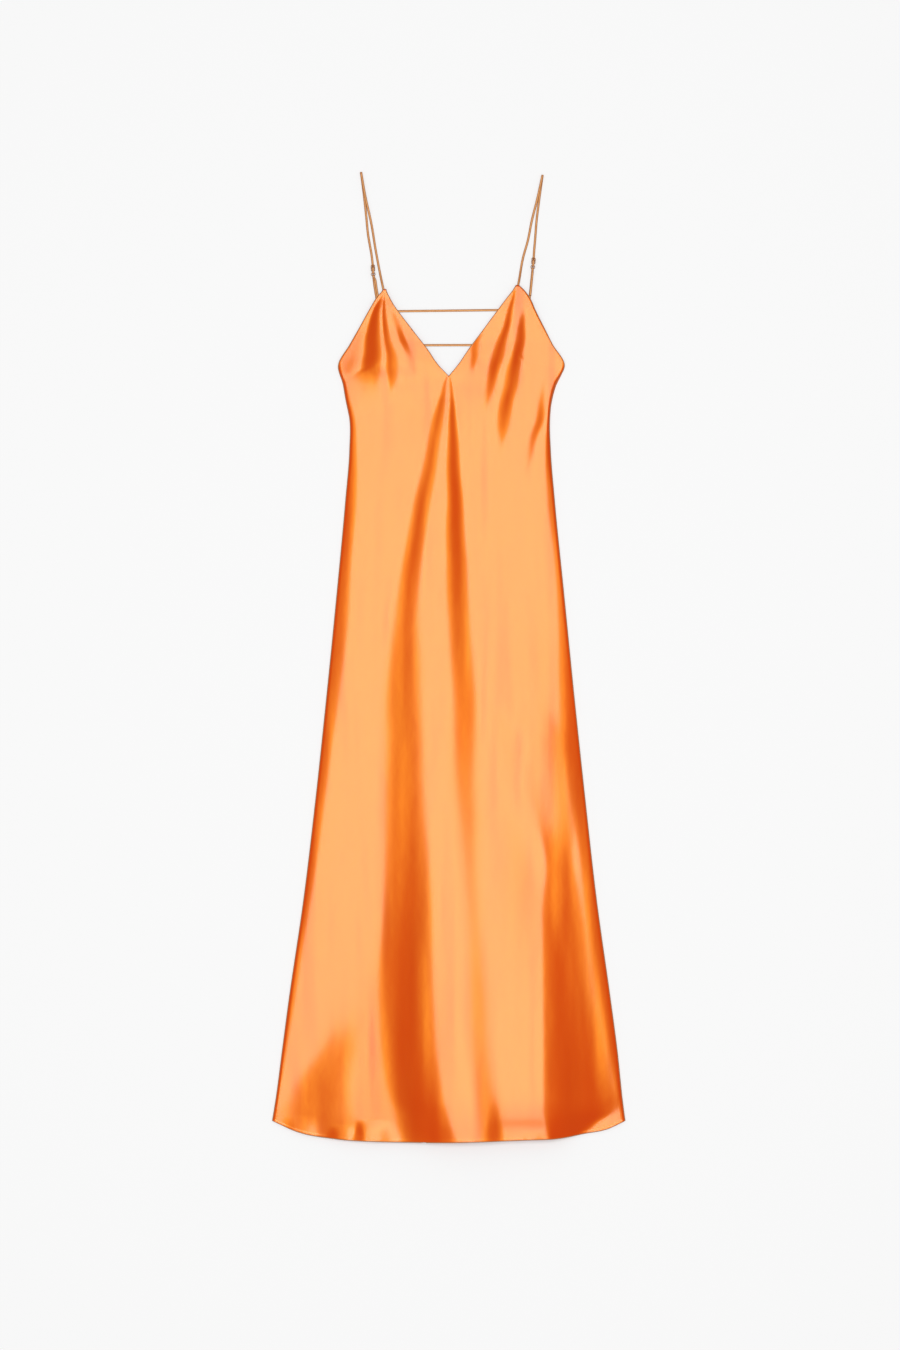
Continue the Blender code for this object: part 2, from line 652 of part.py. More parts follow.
def build_dress():
    clear_scene()
    dress = bpy.data.collections.new("satin_maxi_dress")
    bpy.context.scene.collection.children.link(dress)
    satin = fabric("orange_satin", (0.80, 0.20, 0.035, 1))
    satin_inside = fabric("orange_satin_back", (0.70, 0.16, 0.03, 1))
    rouleau = fabric("orange_rouleau", (0.72, 0.17, 0.03, 1))
    bronze = metal("bronze_hardware", (0.55, 0.28, 0.10, 1))
    build_back(satin_inside, dress)
    build_front(satin, dress)
    for side in ("left", "right"):
        build_strap(side, rouleau, dress)
        build_tab(side, rouleau, dress)
        build_slider(side, bronze, dress)
        build_ring(side, bronze, dress)
    for name, left_up, right_up in LADDERS:
        build_ladder(name, left_up, right_up, rouleau, dress)


build_dress()
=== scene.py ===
"""Satin maxi slip dress laid flat, face up: cloth, straps, fittings, light and camera.

Metres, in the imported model's frame: +X is the right of the dress as it is seen, +Y runs from hem to
straps and +Z is up from the surface it lies on. In every table "up" is the height above the lowest
point of the hem.
"""
import math
import bpy
import numpy as np
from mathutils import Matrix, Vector


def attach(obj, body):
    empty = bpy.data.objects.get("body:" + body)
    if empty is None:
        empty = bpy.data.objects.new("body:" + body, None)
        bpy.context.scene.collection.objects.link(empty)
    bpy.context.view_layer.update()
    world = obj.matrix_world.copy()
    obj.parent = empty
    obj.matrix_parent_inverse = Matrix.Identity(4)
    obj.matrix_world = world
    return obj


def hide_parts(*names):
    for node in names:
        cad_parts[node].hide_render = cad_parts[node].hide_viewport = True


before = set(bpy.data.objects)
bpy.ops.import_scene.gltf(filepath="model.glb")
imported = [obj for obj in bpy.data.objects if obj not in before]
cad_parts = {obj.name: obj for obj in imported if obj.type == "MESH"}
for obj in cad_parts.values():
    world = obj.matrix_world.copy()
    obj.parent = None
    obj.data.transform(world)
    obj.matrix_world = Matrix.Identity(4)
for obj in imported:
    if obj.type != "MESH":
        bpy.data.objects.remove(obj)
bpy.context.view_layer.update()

# ---- Driving sizes, as in the solids ----
LENGTH = 1.455            # lowest point of the hem to the top of the left strap
HEM_WIDTH = 0.530         # across the hem's corners
HEM_CORNER = 0.032        # the corners' height above the hem's lowest point
NECK_POINT = 1.149        # height of the V's point
SIDE_TOP = 1.165          # top of the side seams, under the arms
CUP_TOPS = {"left": 1.279, "right": 1.285}   # heights of the cups' points

GAP = 0.0003              # between pieces that lie on each other
BACK_CLOTH = 0.0012       # walls of the solids
FRONT_CLOTH = 0.0013
FRONT_REST = BACK_CLOTH + GAP + FRONT_CLOTH   # outer face of the front where it lies on the back
CUP_LIFT = 0.0016         # the cups' points ride this much higher, over the straps' ends
CUP_LIFT_FROM = 1.210     # they come up from this height
CUP_LIFT_RUN = 0.045      # over this much of it

STRAP_WIDTH = 0.0034
STRAP_CLOTH = 0.0011
WIRE = 0.0010             # thickness of the rings' and sliders' wire
RING_RADIUS = 0.0028      # to the middle of the wire
SLIDER_LENGTH = 0.0100
SLIDER_WIDTH = 0.0062
SLIDER_CORNER = 0.0014
SLIDER_TO_RING = 0.0092   # from middle to middle
TURN_REACH = RING_RADIUS - 0.6 * WIRE   # from the ring's middle to where a strap bends round it

# Heights of a strap's or a wire's middle above the surface
SURFACE_LAYER = STRAP_CLOTH / 2
WIRE_LAYER = STRAP_CLOTH + GAP + WIRE / 2
TOP_LAYER = WIRE_LAYER + WIRE / 2 + GAP + STRAP_CLOTH / 2
SECOND_LAYER = 1.5 * STRAP_CLOTH + GAP

SHELL = 0.0005            # wall of the shell that shows the front's satin
SEAM_DROP = 0.0016        # the front turns down this far at the side seams, onto the back
SEAM_TURN = 0.0045        # within this width
EDGE_TURN = 0.0014        # width of the rounding at the neck, armholes and hem
EDGE_DROP = 0.0004
EDGE_ROUND = 0.98         # square of the share of a quarter circle's width that an edge has,
EDGE_FALL = 0.86          # and how far that share falls
SEAM_END = SIDE_TOP + 0.004   # here the seams' turned edges have become the armholes'
SEAM_FADE = 0.012         # over this height
HEM_FOLD = 0.0045         # width of the hem's turned strip
HEM_STEP = 0.00022        # how much thicker it makes the cloth
HEM_STEP_RUN = 0.0016     # and the width of that step
BACK_SHELL = BACK_CLOTH - 0.0002   # wall of the back's shell, clear of the surface
BACK_INSET = 0.0006       # the back's side edges lie this far inside the front's
TUBE_TRIM = 0.00002       # keeps the layers of a strap from touching

# ---- Outline ----
SIDES = (
    # up, left x, right x
    (HEM_CORNER, -HEM_WIDTH / 2, HEM_WIDTH / 2),
    (0.064, -0.2600, 0.2610),
    (0.139, -0.2500, 0.2530),
    (0.214, -0.2400, 0.2430),
    (0.364, -0.2180, 0.2220),
    (0.514, -0.2000, 0.2050),
    (0.664, -0.1840, 0.1890),
    (0.814, -0.1690, 0.1740),
    (0.964, -0.1550, 0.1590),
    (1.039, -0.1490, 0.1530),
    (1.084, -0.1490, 0.1520),
    (1.114, -0.1550, 0.1550),
    (1.137, -0.1590, 0.1610),
    (SIDE_TOP, -0.1660, 0.1740),
    (1.196, -0.1487, 0.1562),
    (1.219, -0.1356, 0.1446),
    (1.249, -0.1188, 0.1296),
    (1.264, -0.1100, 0.1230),
    (1.279, -0.0985, 0.1120),
    (1.285, -0.0965, 0.1055),
)
NECK = (
    # up, left x, right x
    (NECK_POINT, 0.0000, 0.0000),
    (1.166, -0.0160, 0.0140),
    (1.188, -0.0310, 0.0290),
    (1.219, -0.0550, 0.0520),
    (1.264, -0.0870, 0.0855),
    (1.279, -0.0935, 0.0970),
    (1.285, -0.0935, 0.1005),
)
HEM = (
    # x, up
    (-HEM_WIDTH / 2, HEM_CORNER),
    (-0.229, 0.0160),
    (-0.166, 0.0045),
    (-0.105, 0.0010),
    (-0.039, 0.0000),
    (0.047, 0.0015),
    (0.113, 0.0040),
    (0.173, 0.0070),
    (0.206, 0.0130),
    (0.237, 0.0190),
    (HEM_WIDTH / 2, HEM_CORNER),
)
HEM_REACH = 0.200         # rows below this height bend to the hem's curve
BACK_HEM_RISE = 0.0015    # the back is this much shorter
BACK_DIP = 0.034          # depth of the scoop in the back's top edge
BACK_SHAPED_FROM = 0.900  # rows of the back above this height bend to that scoop

# ---- Folds ----
# Each fold is a flat-topped ridge between two sloping flanks. It starts with the shares of its
# flanks that are rounded: left foot, left top, right top, right foot. Every row below that is
# up, left foot, left top, right top, right foot, height. A negative height makes a hollow.
SOFT = (0.50, 0.50, 0.50, 0.50)
WAVE = (0.30, 0.30, 0.40, 0.40)
FRONT_FOLDS = {
    # runs down from the V's point and widens to the hem
    "centre": ((0.50, 0.50, 0.42, 0.42), (
        (0.000, -0.078, 0.012, 0.020, 0.100, 0.0030),
        (0.048, -0.090, 0.008, 0.018, 0.096, 0.0032),
        (0.085, -0.100, -0.005, 0.017, 0.086, 0.0027),
        (0.138, -0.104, -0.009, 0.012, 0.080, 0.0025),
        (0.213, -0.114, -0.013, 0.011, 0.075, 0.0023),
        (0.318, -0.116, -0.013, 0.010, 0.066, 0.0016),
        (0.423, -0.116, -0.014, 0.002, 0.060, 0.0016),
        (0.484, -0.115, -0.020, -0.004, 0.060, 0.0020),
        (0.543, -0.113, -0.024, -0.008, 0.055, 0.0023),
        (0.603, -0.112, -0.026, -0.006, 0.053, 0.0027),
        (0.663, -0.110, -0.030, -0.003, 0.050, 0.0030),
        (0.723, -0.104, -0.030, -0.006, 0.044, 0.0031),
        (0.783, -0.094, -0.033, -0.008, 0.038, 0.0032),
        (0.828, -0.084, -0.036, -0.009, 0.034, 0.0035),
        (0.873, -0.075, -0.034, -0.008, 0.031, 0.0036),
        (0.918, -0.067, -0.027, -0.008, 0.027, 0.0032),
        (0.963, -0.0585, -0.0205, -0.0055, 0.0245, 0.0031),
        (1.008, -0.0460, -0.0130, -0.0063, 0.0200, 0.0024),
        (1.053, -0.0345, -0.0095, -0.0045, 0.0175, 0.00165),
        (1.083, -0.0275, -0.0060, -0.0030, 0.0140, 0.00145),
        (1.113, -0.0175, -0.0034, 0.0000, 0.0100, 0.0009),
        (1.1235, -0.0142, -0.0026, -0.0002, 0.0085, 0.0006),
        (1.1355, -0.0109, -0.0019, -0.0004, 0.0071, 0.0004),
        (NECK_POINT, -0.0040, -0.0010, 0.0000, 0.0030, 0.0001),
    )),
    # makes the right flank of the centre fold the steeper one
    "centre_lean": ((0.40, 0.40, 0.50, 0.50), (
        (0.783, -0.160, -0.012, -0.009, 0.037, 0.0000),
        (0.828, -0.160, -0.012, -0.009, 0.034, 0.0003),
        (0.873, -0.150, -0.014, -0.008, 0.031, 0.0004),
        (0.918, -0.150, -0.014, -0.008, 0.027, 0.0008),
        (0.963, -0.150, -0.012, -0.0055, 0.0245, 0.0006),
        (1.008, -0.150, -0.011, -0.0063, 0.0200, 0.0007),
        (1.053, -0.140, -0.010, -0.0045, 0.0175, 0.0009),
        (1.083, -0.130, -0.008, -0.0030, 0.0140, 0.0007),
        (1.113, -0.120, -0.006, 0.0000, 0.0100, 0.0001),
    )),
    # the skirt's flare, standing up between the centre fold and the right side
    "flare": ((0.38, 0.42, 0.22, 0.28), (
        (0.000, -0.072, 0.018, 0.148, 0.198, 0.0088),
        (0.014, -0.074, 0.013, 0.146, 0.205, 0.0089),
        (0.028, -0.078, 0.006, 0.143, 0.221, 0.0090),
        (0.048, -0.082, -0.001, 0.138, 0.250, 0.0091),
        (0.064, -0.088, -0.006, 0.138, 0.255, 0.0091),
        (0.085, -0.094, -0.007, 0.138, 0.247, 0.0089),
        (0.109, -0.099, -0.011, 0.138, 0.241, 0.0087),
        (0.138, -0.103, -0.016, 0.138, 0.235, 0.0086),
        (0.176, -0.105, -0.018, 0.138, 0.228, 0.0083),
        (0.213, -0.107, -0.019, 0.138, 0.220, 0.0079),
        (0.265, -0.107, -0.020, 0.138, 0.212, 0.0076),
        (0.318, -0.103, -0.019, 0.138, 0.206, 0.0070),
        (0.371, -0.101, -0.018, 0.138, 0.198, 0.0056),
        (0.423, -0.102, -0.020, 0.140, 0.190, 0.0043),
        (0.484, -0.105, -0.024, 0.120, 0.195, 0.0033),
        (0.543, -0.109, -0.026, 0.100, 0.195, 0.0034),
        (0.603, -0.110, -0.026, 0.105, 0.190, 0.0029),
        (0.663, -0.110, -0.030, 0.055, 0.170, 0.0027),
        (0.723, -0.104, -0.030, 0.055, 0.168, 0.0022),
        (0.783, -0.094, -0.033, 0.060, 0.165, 0.0009),
        (0.828, -0.086, -0.034, 0.060, 0.162, 0.0002),
        (0.873, -0.080, -0.030, 0.060, 0.160, 0.0000),
    )),
    # the skirt rises slowly toward the flare's right flank
    "tilt": ((0.40, 0.40, 0.22, 0.28), (
        (0.000, -0.240, 0.110, 0.148, 0.201, 0.0062),
        (0.014, -0.240, 0.110, 0.146, 0.208, 0.0062),
        (0.028, -0.240, 0.110, 0.143, 0.226, 0.0062),
        (0.048, -0.240, 0.110, 0.138, 0.262, 0.0062),
        (0.064, -0.240, 0.110, 0.138, 0.278, 0.0062),
        (0.085, -0.240, 0.110, 0.138, 0.272, 0.0061),
        (0.138, -0.235, 0.110, 0.138, 0.264, 0.0058),
        (0.176, -0.235, 0.110, 0.138, 0.258, 0.0054),
        (0.213, -0.230, 0.110, 0.138, 0.252, 0.0048),
        (0.265, -0.225, 0.110, 0.138, 0.246, 0.0038),
        (0.318, -0.220, 0.110, 0.138, 0.236, 0.0026),
        (0.371, -0.215, 0.110, 0.138, 0.222, 0.0014),
        (0.423, -0.210, 0.110, 0.140, 0.200, 0.0005),
        (0.484, -0.200, 0.105, 0.120, 0.195, 0.0000),
    )),
    # part of the flare that dies out slowly across the skirt's middle
    "flare_slow": ((0.35, 0.35, 0.40, 0.40), (
        (0.213, -0.115, -0.020, 0.060, 0.150, 0.0000),
        (0.318, -0.115, -0.018, 0.060, 0.150, 0.0009),
        (0.423, -0.112, -0.021, 0.060, 0.155, 0.0013),
        (0.484, -0.112, -0.022, 0.060, 0.160, 0.0009),
        (0.543, -0.112, -0.025, 0.060, 0.160, 0.0000),
    )),
    # soft rise above the left corner of the hem, which the flare carries on
    "left_rise": ((0.35, 0.35, 0.22, 0.28), (
        (0.000, -0.262, -0.118, 0.150, 0.197, 0.0054),
        (0.014, -0.262, -0.122, 0.146, 0.205, 0.0054),
        (0.028, -0.262, -0.130, 0.143, 0.221, 0.0054),
        (0.048, -0.260, -0.139, 0.138, 0.250, 0.0053),
        (0.064, -0.250, -0.142, 0.138, 0.255, 0.0051),
        (0.085, -0.240, -0.143, 0.138, 0.250, 0.0046),
        (0.109, -0.225, -0.140, 0.138, 0.244, 0.0034),
        (0.138, -0.205, -0.132, 0.138, 0.238, 0.0021),
        (0.185, -0.190, -0.125, 0.138, 0.228, 0.0005),
        (0.225, -0.185, -0.120, 0.138, 0.219, 0.0000),
    )),
    # gather that falls from the left cup's point
    "left_cup": ((0.35, 0.50, 0.30, 0.70), (
        (1.100, -0.1380, -0.0960, -0.0940, -0.0780, 0.0000),
        (1.1235, -0.1380, -0.0955, -0.0935, -0.0760, 0.0004),
        (1.1355, -0.1370, -0.0955, -0.0930, -0.0731, 0.0009),
        (1.147, -0.1350, -0.0975, -0.0945, -0.0718, 0.0016),
        (1.158, -0.1335, -0.0998, -0.0970, -0.0705, 0.0020),
        (1.1805, -0.1298, -0.0984, -0.0960, -0.0738, 0.0018),
        (1.203, -0.1278, -0.1004, -0.0989, -0.0828, 0.0012),
        (1.2255, -0.1225, -0.1019, -0.1001, -0.0892, 0.0011),
        (1.248, -0.1145, -0.1016, -0.1001, -0.0926, 0.0007),
        (1.268, -0.1020, -0.0985, -0.0975, -0.0955, 0.0001),
        (1.275, -0.0990, -0.0980, -0.0970, -0.0960, 0.0000),
    )),
    # makes its left flank the steeper one
    "left_wedge": ((0.22, 0.45, 0.30, 0.30), (
        (1.060, -0.1380, -0.0960, -0.060, 0.100, 0.0000),
        (1.100, -0.1380, -0.0960, -0.070, 0.100, 0.0004),
        (1.126, -0.1370, -0.0960, -0.080, 0.100, 0.0007),
        (1.136, -0.1370, -0.0960, -0.080, 0.100, 0.0006),
        (1.147, -0.1350, -0.0975, -0.086, 0.100, 0.0008),
        (1.153, -0.1340, -0.0985, -0.091, 0.100, 0.0011),
        (1.159, -0.1335, -0.0998, -0.094, 0.100, 0.0016),
        (1.170, -0.1313, -0.0991, -0.0955, 0.100, 0.0024),
        (1.1805, -0.1290, -0.0984, -0.0950, 0.100, 0.0027),
        (1.203, -0.1268, -0.1004, -0.0985, 0.090, 0.0027),
        (1.2255, -0.1215, -0.1019, -0.0998, 0.060, 0.0019),
        (1.248, -0.1140, -0.1016, -0.1000, 0.000, 0.0008),
        (1.265, -0.1050, -0.0990, -0.0980, -0.050, 0.0000),
    )),
    # soft slope between the left side and the dart
    "under_left": (SOFT, (
        (1.090, -0.154, -0.110, -0.095, 0.050, 0.0000),
        (1.126, -0.160, -0.120, -0.095, 0.050, 0.0003),
        (1.147, -0.166, -0.128, -0.095, 0.050, 0.0004),
        (1.156, -0.169, -0.130, -0.095, 0.050, 0.0009),
        (1.165, -0.170, -0.126, -0.095, 0.050, 0.0011),
        (1.180, -0.163, -0.122, -0.095, 0.050, 0.0008),
        (1.210, -0.147, -0.116, -0.095, 0.040, 0.0004),
        (1.240, -0.126, -0.104, -0.095, 0.000, 0.0001),
        (1.262, -0.112, -0.100, -0.095, -0.060, 0.0000),
    )),
    # gather that falls from the right cup's point
    "right_cup": (SOFT, (
        (1.083, 0.0440, 0.0660, 0.0664, 0.0949, 0.0000),
        (1.113, 0.0469, 0.0701, 0.0746, 0.1001, 0.0008),
        (1.1355, 0.0514, 0.0754, 0.0799, 0.1069, 0.0015),
        (1.158, 0.0559, 0.0799, 0.0844, 0.1091, 0.0022),
        (1.1805, 0.0610, 0.0870, 0.0919, 0.1121, 0.0023),
        (1.203, 0.0700, 0.0900, 0.0980, 0.1170, 0.0016),
        (1.2255, 0.0795, 0.0955, 0.1020, 0.1165, 0.0009),
        (1.248, 0.0859, 0.0985, 0.1060, 0.1170, 0.0001),
        (1.268, 0.0950, 0.1000, 0.1060, 0.1120, 0.0000),
        (1.277, 0.0990, 0.1010, 0.1050, 0.1070, 0.0000),
    )),
    # makes its left flank the steeper one near the cup's point
    "right_point": (SOFT, (
        (1.200, 0.0700, 0.0900, 0.092, 0.200, 0.0000),
        (1.2255, 0.0795, 0.0955, 0.097, 0.200, 0.0007),
        (1.248, 0.0859, 0.0985, 0.100, 0.200, 0.0010),
        (1.268, 0.0930, 0.1010, 0.103, 0.200, 0.0006),
        (1.285, 0.0960, 0.1030, 0.104, 0.200, 0.0000),
    )),
    # and carries its right flank on below
    "right_lean": (SOFT, (
        (1.020, -0.060, 0.060, 0.062, 0.0860, 0.0000),
        (1.053, -0.060, 0.066, 0.069, 0.0910, 0.0007),
        (1.083, -0.060, 0.067, 0.0690, 0.0960, 0.0018),
        (1.113, -0.060, 0.070, 0.0746, 0.1001, 0.0017),
        (1.1355, -0.060, 0.076, 0.0799, 0.1069, 0.0009),
        (1.158, -0.060, 0.080, 0.0844, 0.1091, 0.0003),
        (1.175, -0.060, 0.082, 0.0880, 0.1100, 0.0000),
    )),
    # narrow one between the left cup's gather and the V
    "short_left": ((0.40, 0.40, 0.50, 0.50), (
        (1.140, -0.0590, -0.0430, -0.041, 0.020, 0.0000),
        (1.158, -0.0605, -0.0440, -0.042, 0.020, -0.0002),
        (1.170, -0.0640, -0.0470, -0.045, 0.020, -0.0002),
        (1.1805, -0.0680, -0.0505, -0.048, 0.010, -0.0004),
        (1.191, -0.0715, -0.0560, -0.054, 0.000, -0.0007),
        (1.203, -0.0768, -0.0618, -0.060, -0.010, -0.0010),
        (1.2145, -0.0800, -0.0660, -0.064, -0.020, -0.0008),
        (1.2255, -0.0860, -0.0680, -0.066, -0.030, -0.0006),
        (1.237, -0.0890, -0.0740, -0.072, -0.045, -0.0005),
        (1.252, -0.0910, -0.0800, -0.079, -0.060, 0.0000),
    )),
    "short_right": (SOFT, (
        (1.150, 0.0280, 0.0400, 0.041, 0.090, 0.0000),
        (1.158, 0.0289, 0.0409, 0.042, 0.090, -0.0002),
        (1.170, 0.0304, 0.0439, 0.045, 0.095, -0.0005),
        (1.1805, 0.0319, 0.0454, 0.047, 0.100, -0.0006),
        (1.191, 0.0304, 0.0469, 0.048, 0.100, -0.0006),
        (1.203, 0.0340, 0.0490, 0.050, 0.100, -0.0006),
        (1.215, 0.0440, 0.0600, 0.062, 0.100, 0.0000),
    )),
    # from under the right arm
    "underarm": (SOFT, (
        (0.985, 0.1040, 0.1260, 0.20, 0.21, 0.0000),
        (1.023, 0.1100, 0.1320, 0.20, 0.21, 0.0006),
        (1.053, 0.1160, 0.1376, 0.20, 0.21, 0.0010),
        (1.083, 0.1271, 0.1466, 0.20, 0.21, 0.0015),
        (1.113, 0.1301, 0.1489, 0.20, 0.21, 0.0008),
        (1.1355, 0.1354, 0.1474, 0.20, 0.21, 0.0003),
        (1.150, 0.1370, 0.1480, 0.20, 0.21, 0.0000),
    )),
    # small waves of the hem
    "hem_left_a": (WAVE, (
        (0.000, -0.187, -0.162, -0.156, -0.120, 0.0020),
        (0.012, -0.184, -0.163, -0.156, -0.125, 0.0015),
        (0.026, -0.180, -0.165, -0.156, -0.130, 0.0000),
    )),
    "hem_left_b": (WAVE, (
        (0.000, -0.148, -0.124, -0.120, -0.070, 0.0030),
        (0.008, -0.146, -0.124, -0.119, -0.072, 0.0026),
        (0.016, -0.143, -0.125, -0.118, -0.076, 0.0022),
        (0.034, -0.140, -0.127, -0.117, -0.080, 0.0000),
    )),
    "hem_left_c": (SOFT, (
        (0.000, -0.252, -0.228, -0.222, -0.186, 0.0013),
        (0.020, -0.252, -0.228, -0.222, -0.186, 0.0010),
        (0.040, -0.252, -0.228, -0.222, -0.186, 0.0000),
    )),
    "hem_middle": (WAVE, (
        (0.000, 0.052, 0.084, 0.148, 0.198, -0.0018),
        (0.020, 0.054, 0.082, 0.145, 0.212, -0.0017),
        (0.040, 0.057, 0.078, 0.140, 0.238, -0.0007),
        (0.060, 0.060, 0.074, 0.138, 0.255, -0.0001),
        (0.075, 0.062, 0.072, 0.138, 0.250, 0.0000),
    )),
    "hem_right": (WAVE, (
        (0.000, 0.108, 0.122, 0.126, 0.146, 0.0008),
        (0.010, 0.110, 0.121, 0.126, 0.144, 0.0004),
        (0.018, 0.112, 0.120, 0.126, 0.142, 0.0000),
    )),
}
# The left dart, from the side seam to its point. Below it the left flanks of the gathers above it
# spread out to the side, as one slope from DART_FOOT to DART_TOP.
DART = (
    # x, up
    (-0.170, 1.1395),
    (-0.1526, 1.1468),
    (-0.130, 1.1565),
    (-0.106, 1.1633),
    (-0.060, 1.1680),
)
DART_FOLDS = ("left_cup", "left_wedge", "under_left")
DART_WIDTH = 0.0040       # the flanks change over this height
DART_FOOT = -0.160
DART_TOP = -0.0985
DART_ROUNDING = (0.55, 0.20)   # shares of that slope that are rounded at its foot and top
# Short creases: from x, from up, to x, to up, half width, lift
CREASES = (
    (-0.166, 1.1412, -0.130, 1.1565, 0.0024, -0.00005),
    (-0.113, 1.1625, -0.108, 1.1655, 0.0024, 0.00008),
    (-0.118, 1.1560, -0.110, 1.1590, 0.0026, 0.00007),
    (-0.108, 1.1580, -0.104, 1.1560, 0.0024, -0.00010),
    (0.176, 1.1560, 0.104, 1.1740, 0.0022, -0.00009),
    (0.104, 1.1790, 0.112, 1.1740, 0.0030, 0.00025),
)
BACK_FOLDS = {
    "left_arch": (SOFT, (
        (0.000, -0.040, -0.004, 0.014, 0.052, 0.0034),
        (0.100, -0.044, -0.008, 0.012, 0.050, 0.0030),
        (0.240, -0.048, -0.012, 0.006, 0.042, 0.0020),
        (0.400, -0.046, -0.016, 0.000, 0.032, 0.0010),
        (0.520, -0.044, -0.020, -0.004, 0.026, 0.0000),
    )),
    "right_arch": (SOFT, (
        (0.000, 0.066, 0.104, 0.122, 0.160, 0.0044),
        (0.080, 0.068, 0.104, 0.122, 0.162, 0.0040),
        (0.200, 0.074, 0.108, 0.122, 0.158, 0.0028),
        (0.330, 0.082, 0.112, 0.124, 0.154, 0.0014),
        (0.450, 0.088, 0.114, 0.124, 0.150, 0.0000),
    )),
}
# The front swells beside each side seam and then falls to lie on the back.
ROLL_ROUNDING = (0.30, 0.30)   # shares of that fall that are rounded
ROLLS = (
    # up, left lift, left rise, left fall, right lift, right rise, right fall
    (0.000, 0.0003, 0.004, 0.060, 0.0004, 0.005, 0.040),
    (0.048, 0.0003, 0.004, 0.080, 0.0006, 0.006, 0.040),
    (0.085, 0.0005, 0.005, 0.100, 0.0010, 0.008, 0.040),
    (0.138, 0.0006, 0.007, 0.110, 0.0014, 0.012, 0.050),
    (0.213, 0.0009, 0.010, 0.110, 0.0018, 0.016, 0.050),
    (0.318, 0.0010, 0.011, 0.120, 0.0020, 0.018, 0.060),
    (0.423, 0.0013, 0.015, 0.120, 0.0022, 0.020, 0.080),
    (0.543, 0.0015, 0.018, 0.120, 0.0024, 0.026, 0.110),
    (0.603, 0.0017, 0.020, 0.120, 0.0027, 0.028, 0.120),
    (0.663, 0.0019, 0.023, 0.120, 0.0024, 0.027, 0.120),
    (0.783, 0.0021, 0.026, 0.130, 0.0012, 0.016, 0.130),
    (0.873, 0.0019, 0.021, 0.130, 0.0008, 0.012, 0.130),
    (0.963, 0.0020, 0.020, 0.130, 0.0010, 0.014, 0.120),
    (1.040, 0.0012, 0.013, 0.120, 0.0008, 0.008, 0.100),
    (1.080, 0.0009, 0.010, 0.080, 0.0004, 0.004, 0.060),
    (SIDE_TOP, 0.0002, 0.004, 0.040, 0.0002, 0.004, 0.040),
    (1.200, 0.0001, 0.003, 0.030, 0.0001, 0.003, 0.030),
    (1.300, 0.0001, 0.003, 0.020, 0.0001, 0.003, 0.020),
)

# ---- Straps ----
# The two legs of each strap as (up, x), from the cloth to the tip where they meet
LEGS = {
    "left": {
        "front": ((1.2585, -0.0934), (1.2885, -0.1001), (1.335, -0.1091), (1.380, -0.1166),
                  (1.4175, -0.1250), (1.4550, -0.1316)),
        "back": ((1.120, -0.0870), (1.203, -0.0986), (1.266, -0.1084), (1.2855, -0.1115),
                 (1.3015, -0.1132), (1.3125, -0.1138), (1.325, -0.1150), (1.362, -0.1211),
                 (1.389, -0.1238), (1.4205, -0.1272), (1.4550, -0.1316)),
    },
    "right": {
        "front": ((1.2630, 0.0980), (1.2848, 0.1039), (1.326, 0.1114), (1.353, 0.1189),
                  (1.380, 0.1242), (1.416, 0.1332), (1.4508, 0.1408)),
        "back": ((1.120, 0.1040), (1.1955, 0.1140), (1.263, 0.1211), (1.293, 0.1241),
                 (1.3098, 0.1258), (1.3208, 0.1270), (1.335, 0.1280), (1.362, 0.1302),
                 (1.376, 0.1312), (1.410, 0.1352), (1.4508, 0.1408)),
    },
}
SLIDERS_UP = {"left": 1.3107, "right": 1.3215}
# Shares of the slider's length above its middle where the strap
TOP_BAR = 0.40            # leaves the surface,
MIDDLE_BAR = 0.05         # lies over the middle bar,
STRAP_END = 0.08          # and ends under it, back from the ring
TUCK_RUN = 0.030          # it comes down from the cup's point over this length
LEGS_PART = 0.054         # the front leg lies on the back leg over this length below the tip,
CLIMB_RUN = 0.025         # and climbs onto it over this length
TAB_DOUBLED = 0.0430      # length of the tab's doubled end below the ring
TAB_SPREAD = {"left": 0.0024, "right": 0.0004}   # how far aside that end lies
RING_RUN = 0.008          # it rises to the ring over this length
LADDERS = (
    # name, up at the left tab, up at the right tab
    ("ladder_upper", 1.2458, 1.2483),
    ("ladder_lower", 1.1950, 1.1955),
)

# ---- Meshing ----
HALF_COLUMNS = 80
FRONT_ROWS = (
    # from level, to level, rows
    (0.0, EDGE_TURN, 2),
    (EDGE_TURN, 0.006, 4),
    (0.006, 0.060, 20),
    (0.060, 0.840, 108),
    (0.840, 1.050, 38),
    (1.050, NECK_POINT, 42),
    (NECK_POINT, SIDE_TOP, 7),
)
CUP_ROWS = 58
BACK_COLUMNS = 80
BACK_ROWS = ((0.0, 0.060, 10), (0.060, BACK_SHAPED_FROM, 70), (BACK_SHAPED_FROM, SIDE_TOP, 40))
COLUMN_SAMPLES = 600
CROWDING = 4.0            # columns that a fold's flank or an edge draws to itself
CROWDING_FOLD = 0.0012    # height of a fold that draws them all
CROWDING_BAND = 0.005     # width of the band at an edge that does
EDGE_COLUMNS = 2          # narrow columns at each edge, inside EDGE_TURN
WELD_WITHIN = 0.000001    # joins the two halves of the front

TUBE_SIDES = 14
TUBE_POWER = 0.8          # 1 makes a tube's section an ellipse, and less makes it squarer
FRONT_LEG_STATIONS = 70
BACK_LEG_STATIONS = 50
WEAVE_STATIONS = 14
SHORT_STATIONS = 6
DOUBLED_STATIONS = 30
TAB_STATIONS = 40
LADDER_STATIONS = 41
BEND_STEPS = 10
RING_STATIONS = 56
CORNER_STATIONS = 7
BAR_STATIONS = 5
SLOPE_STEP = 0.001        # for the slope of a strap's leg

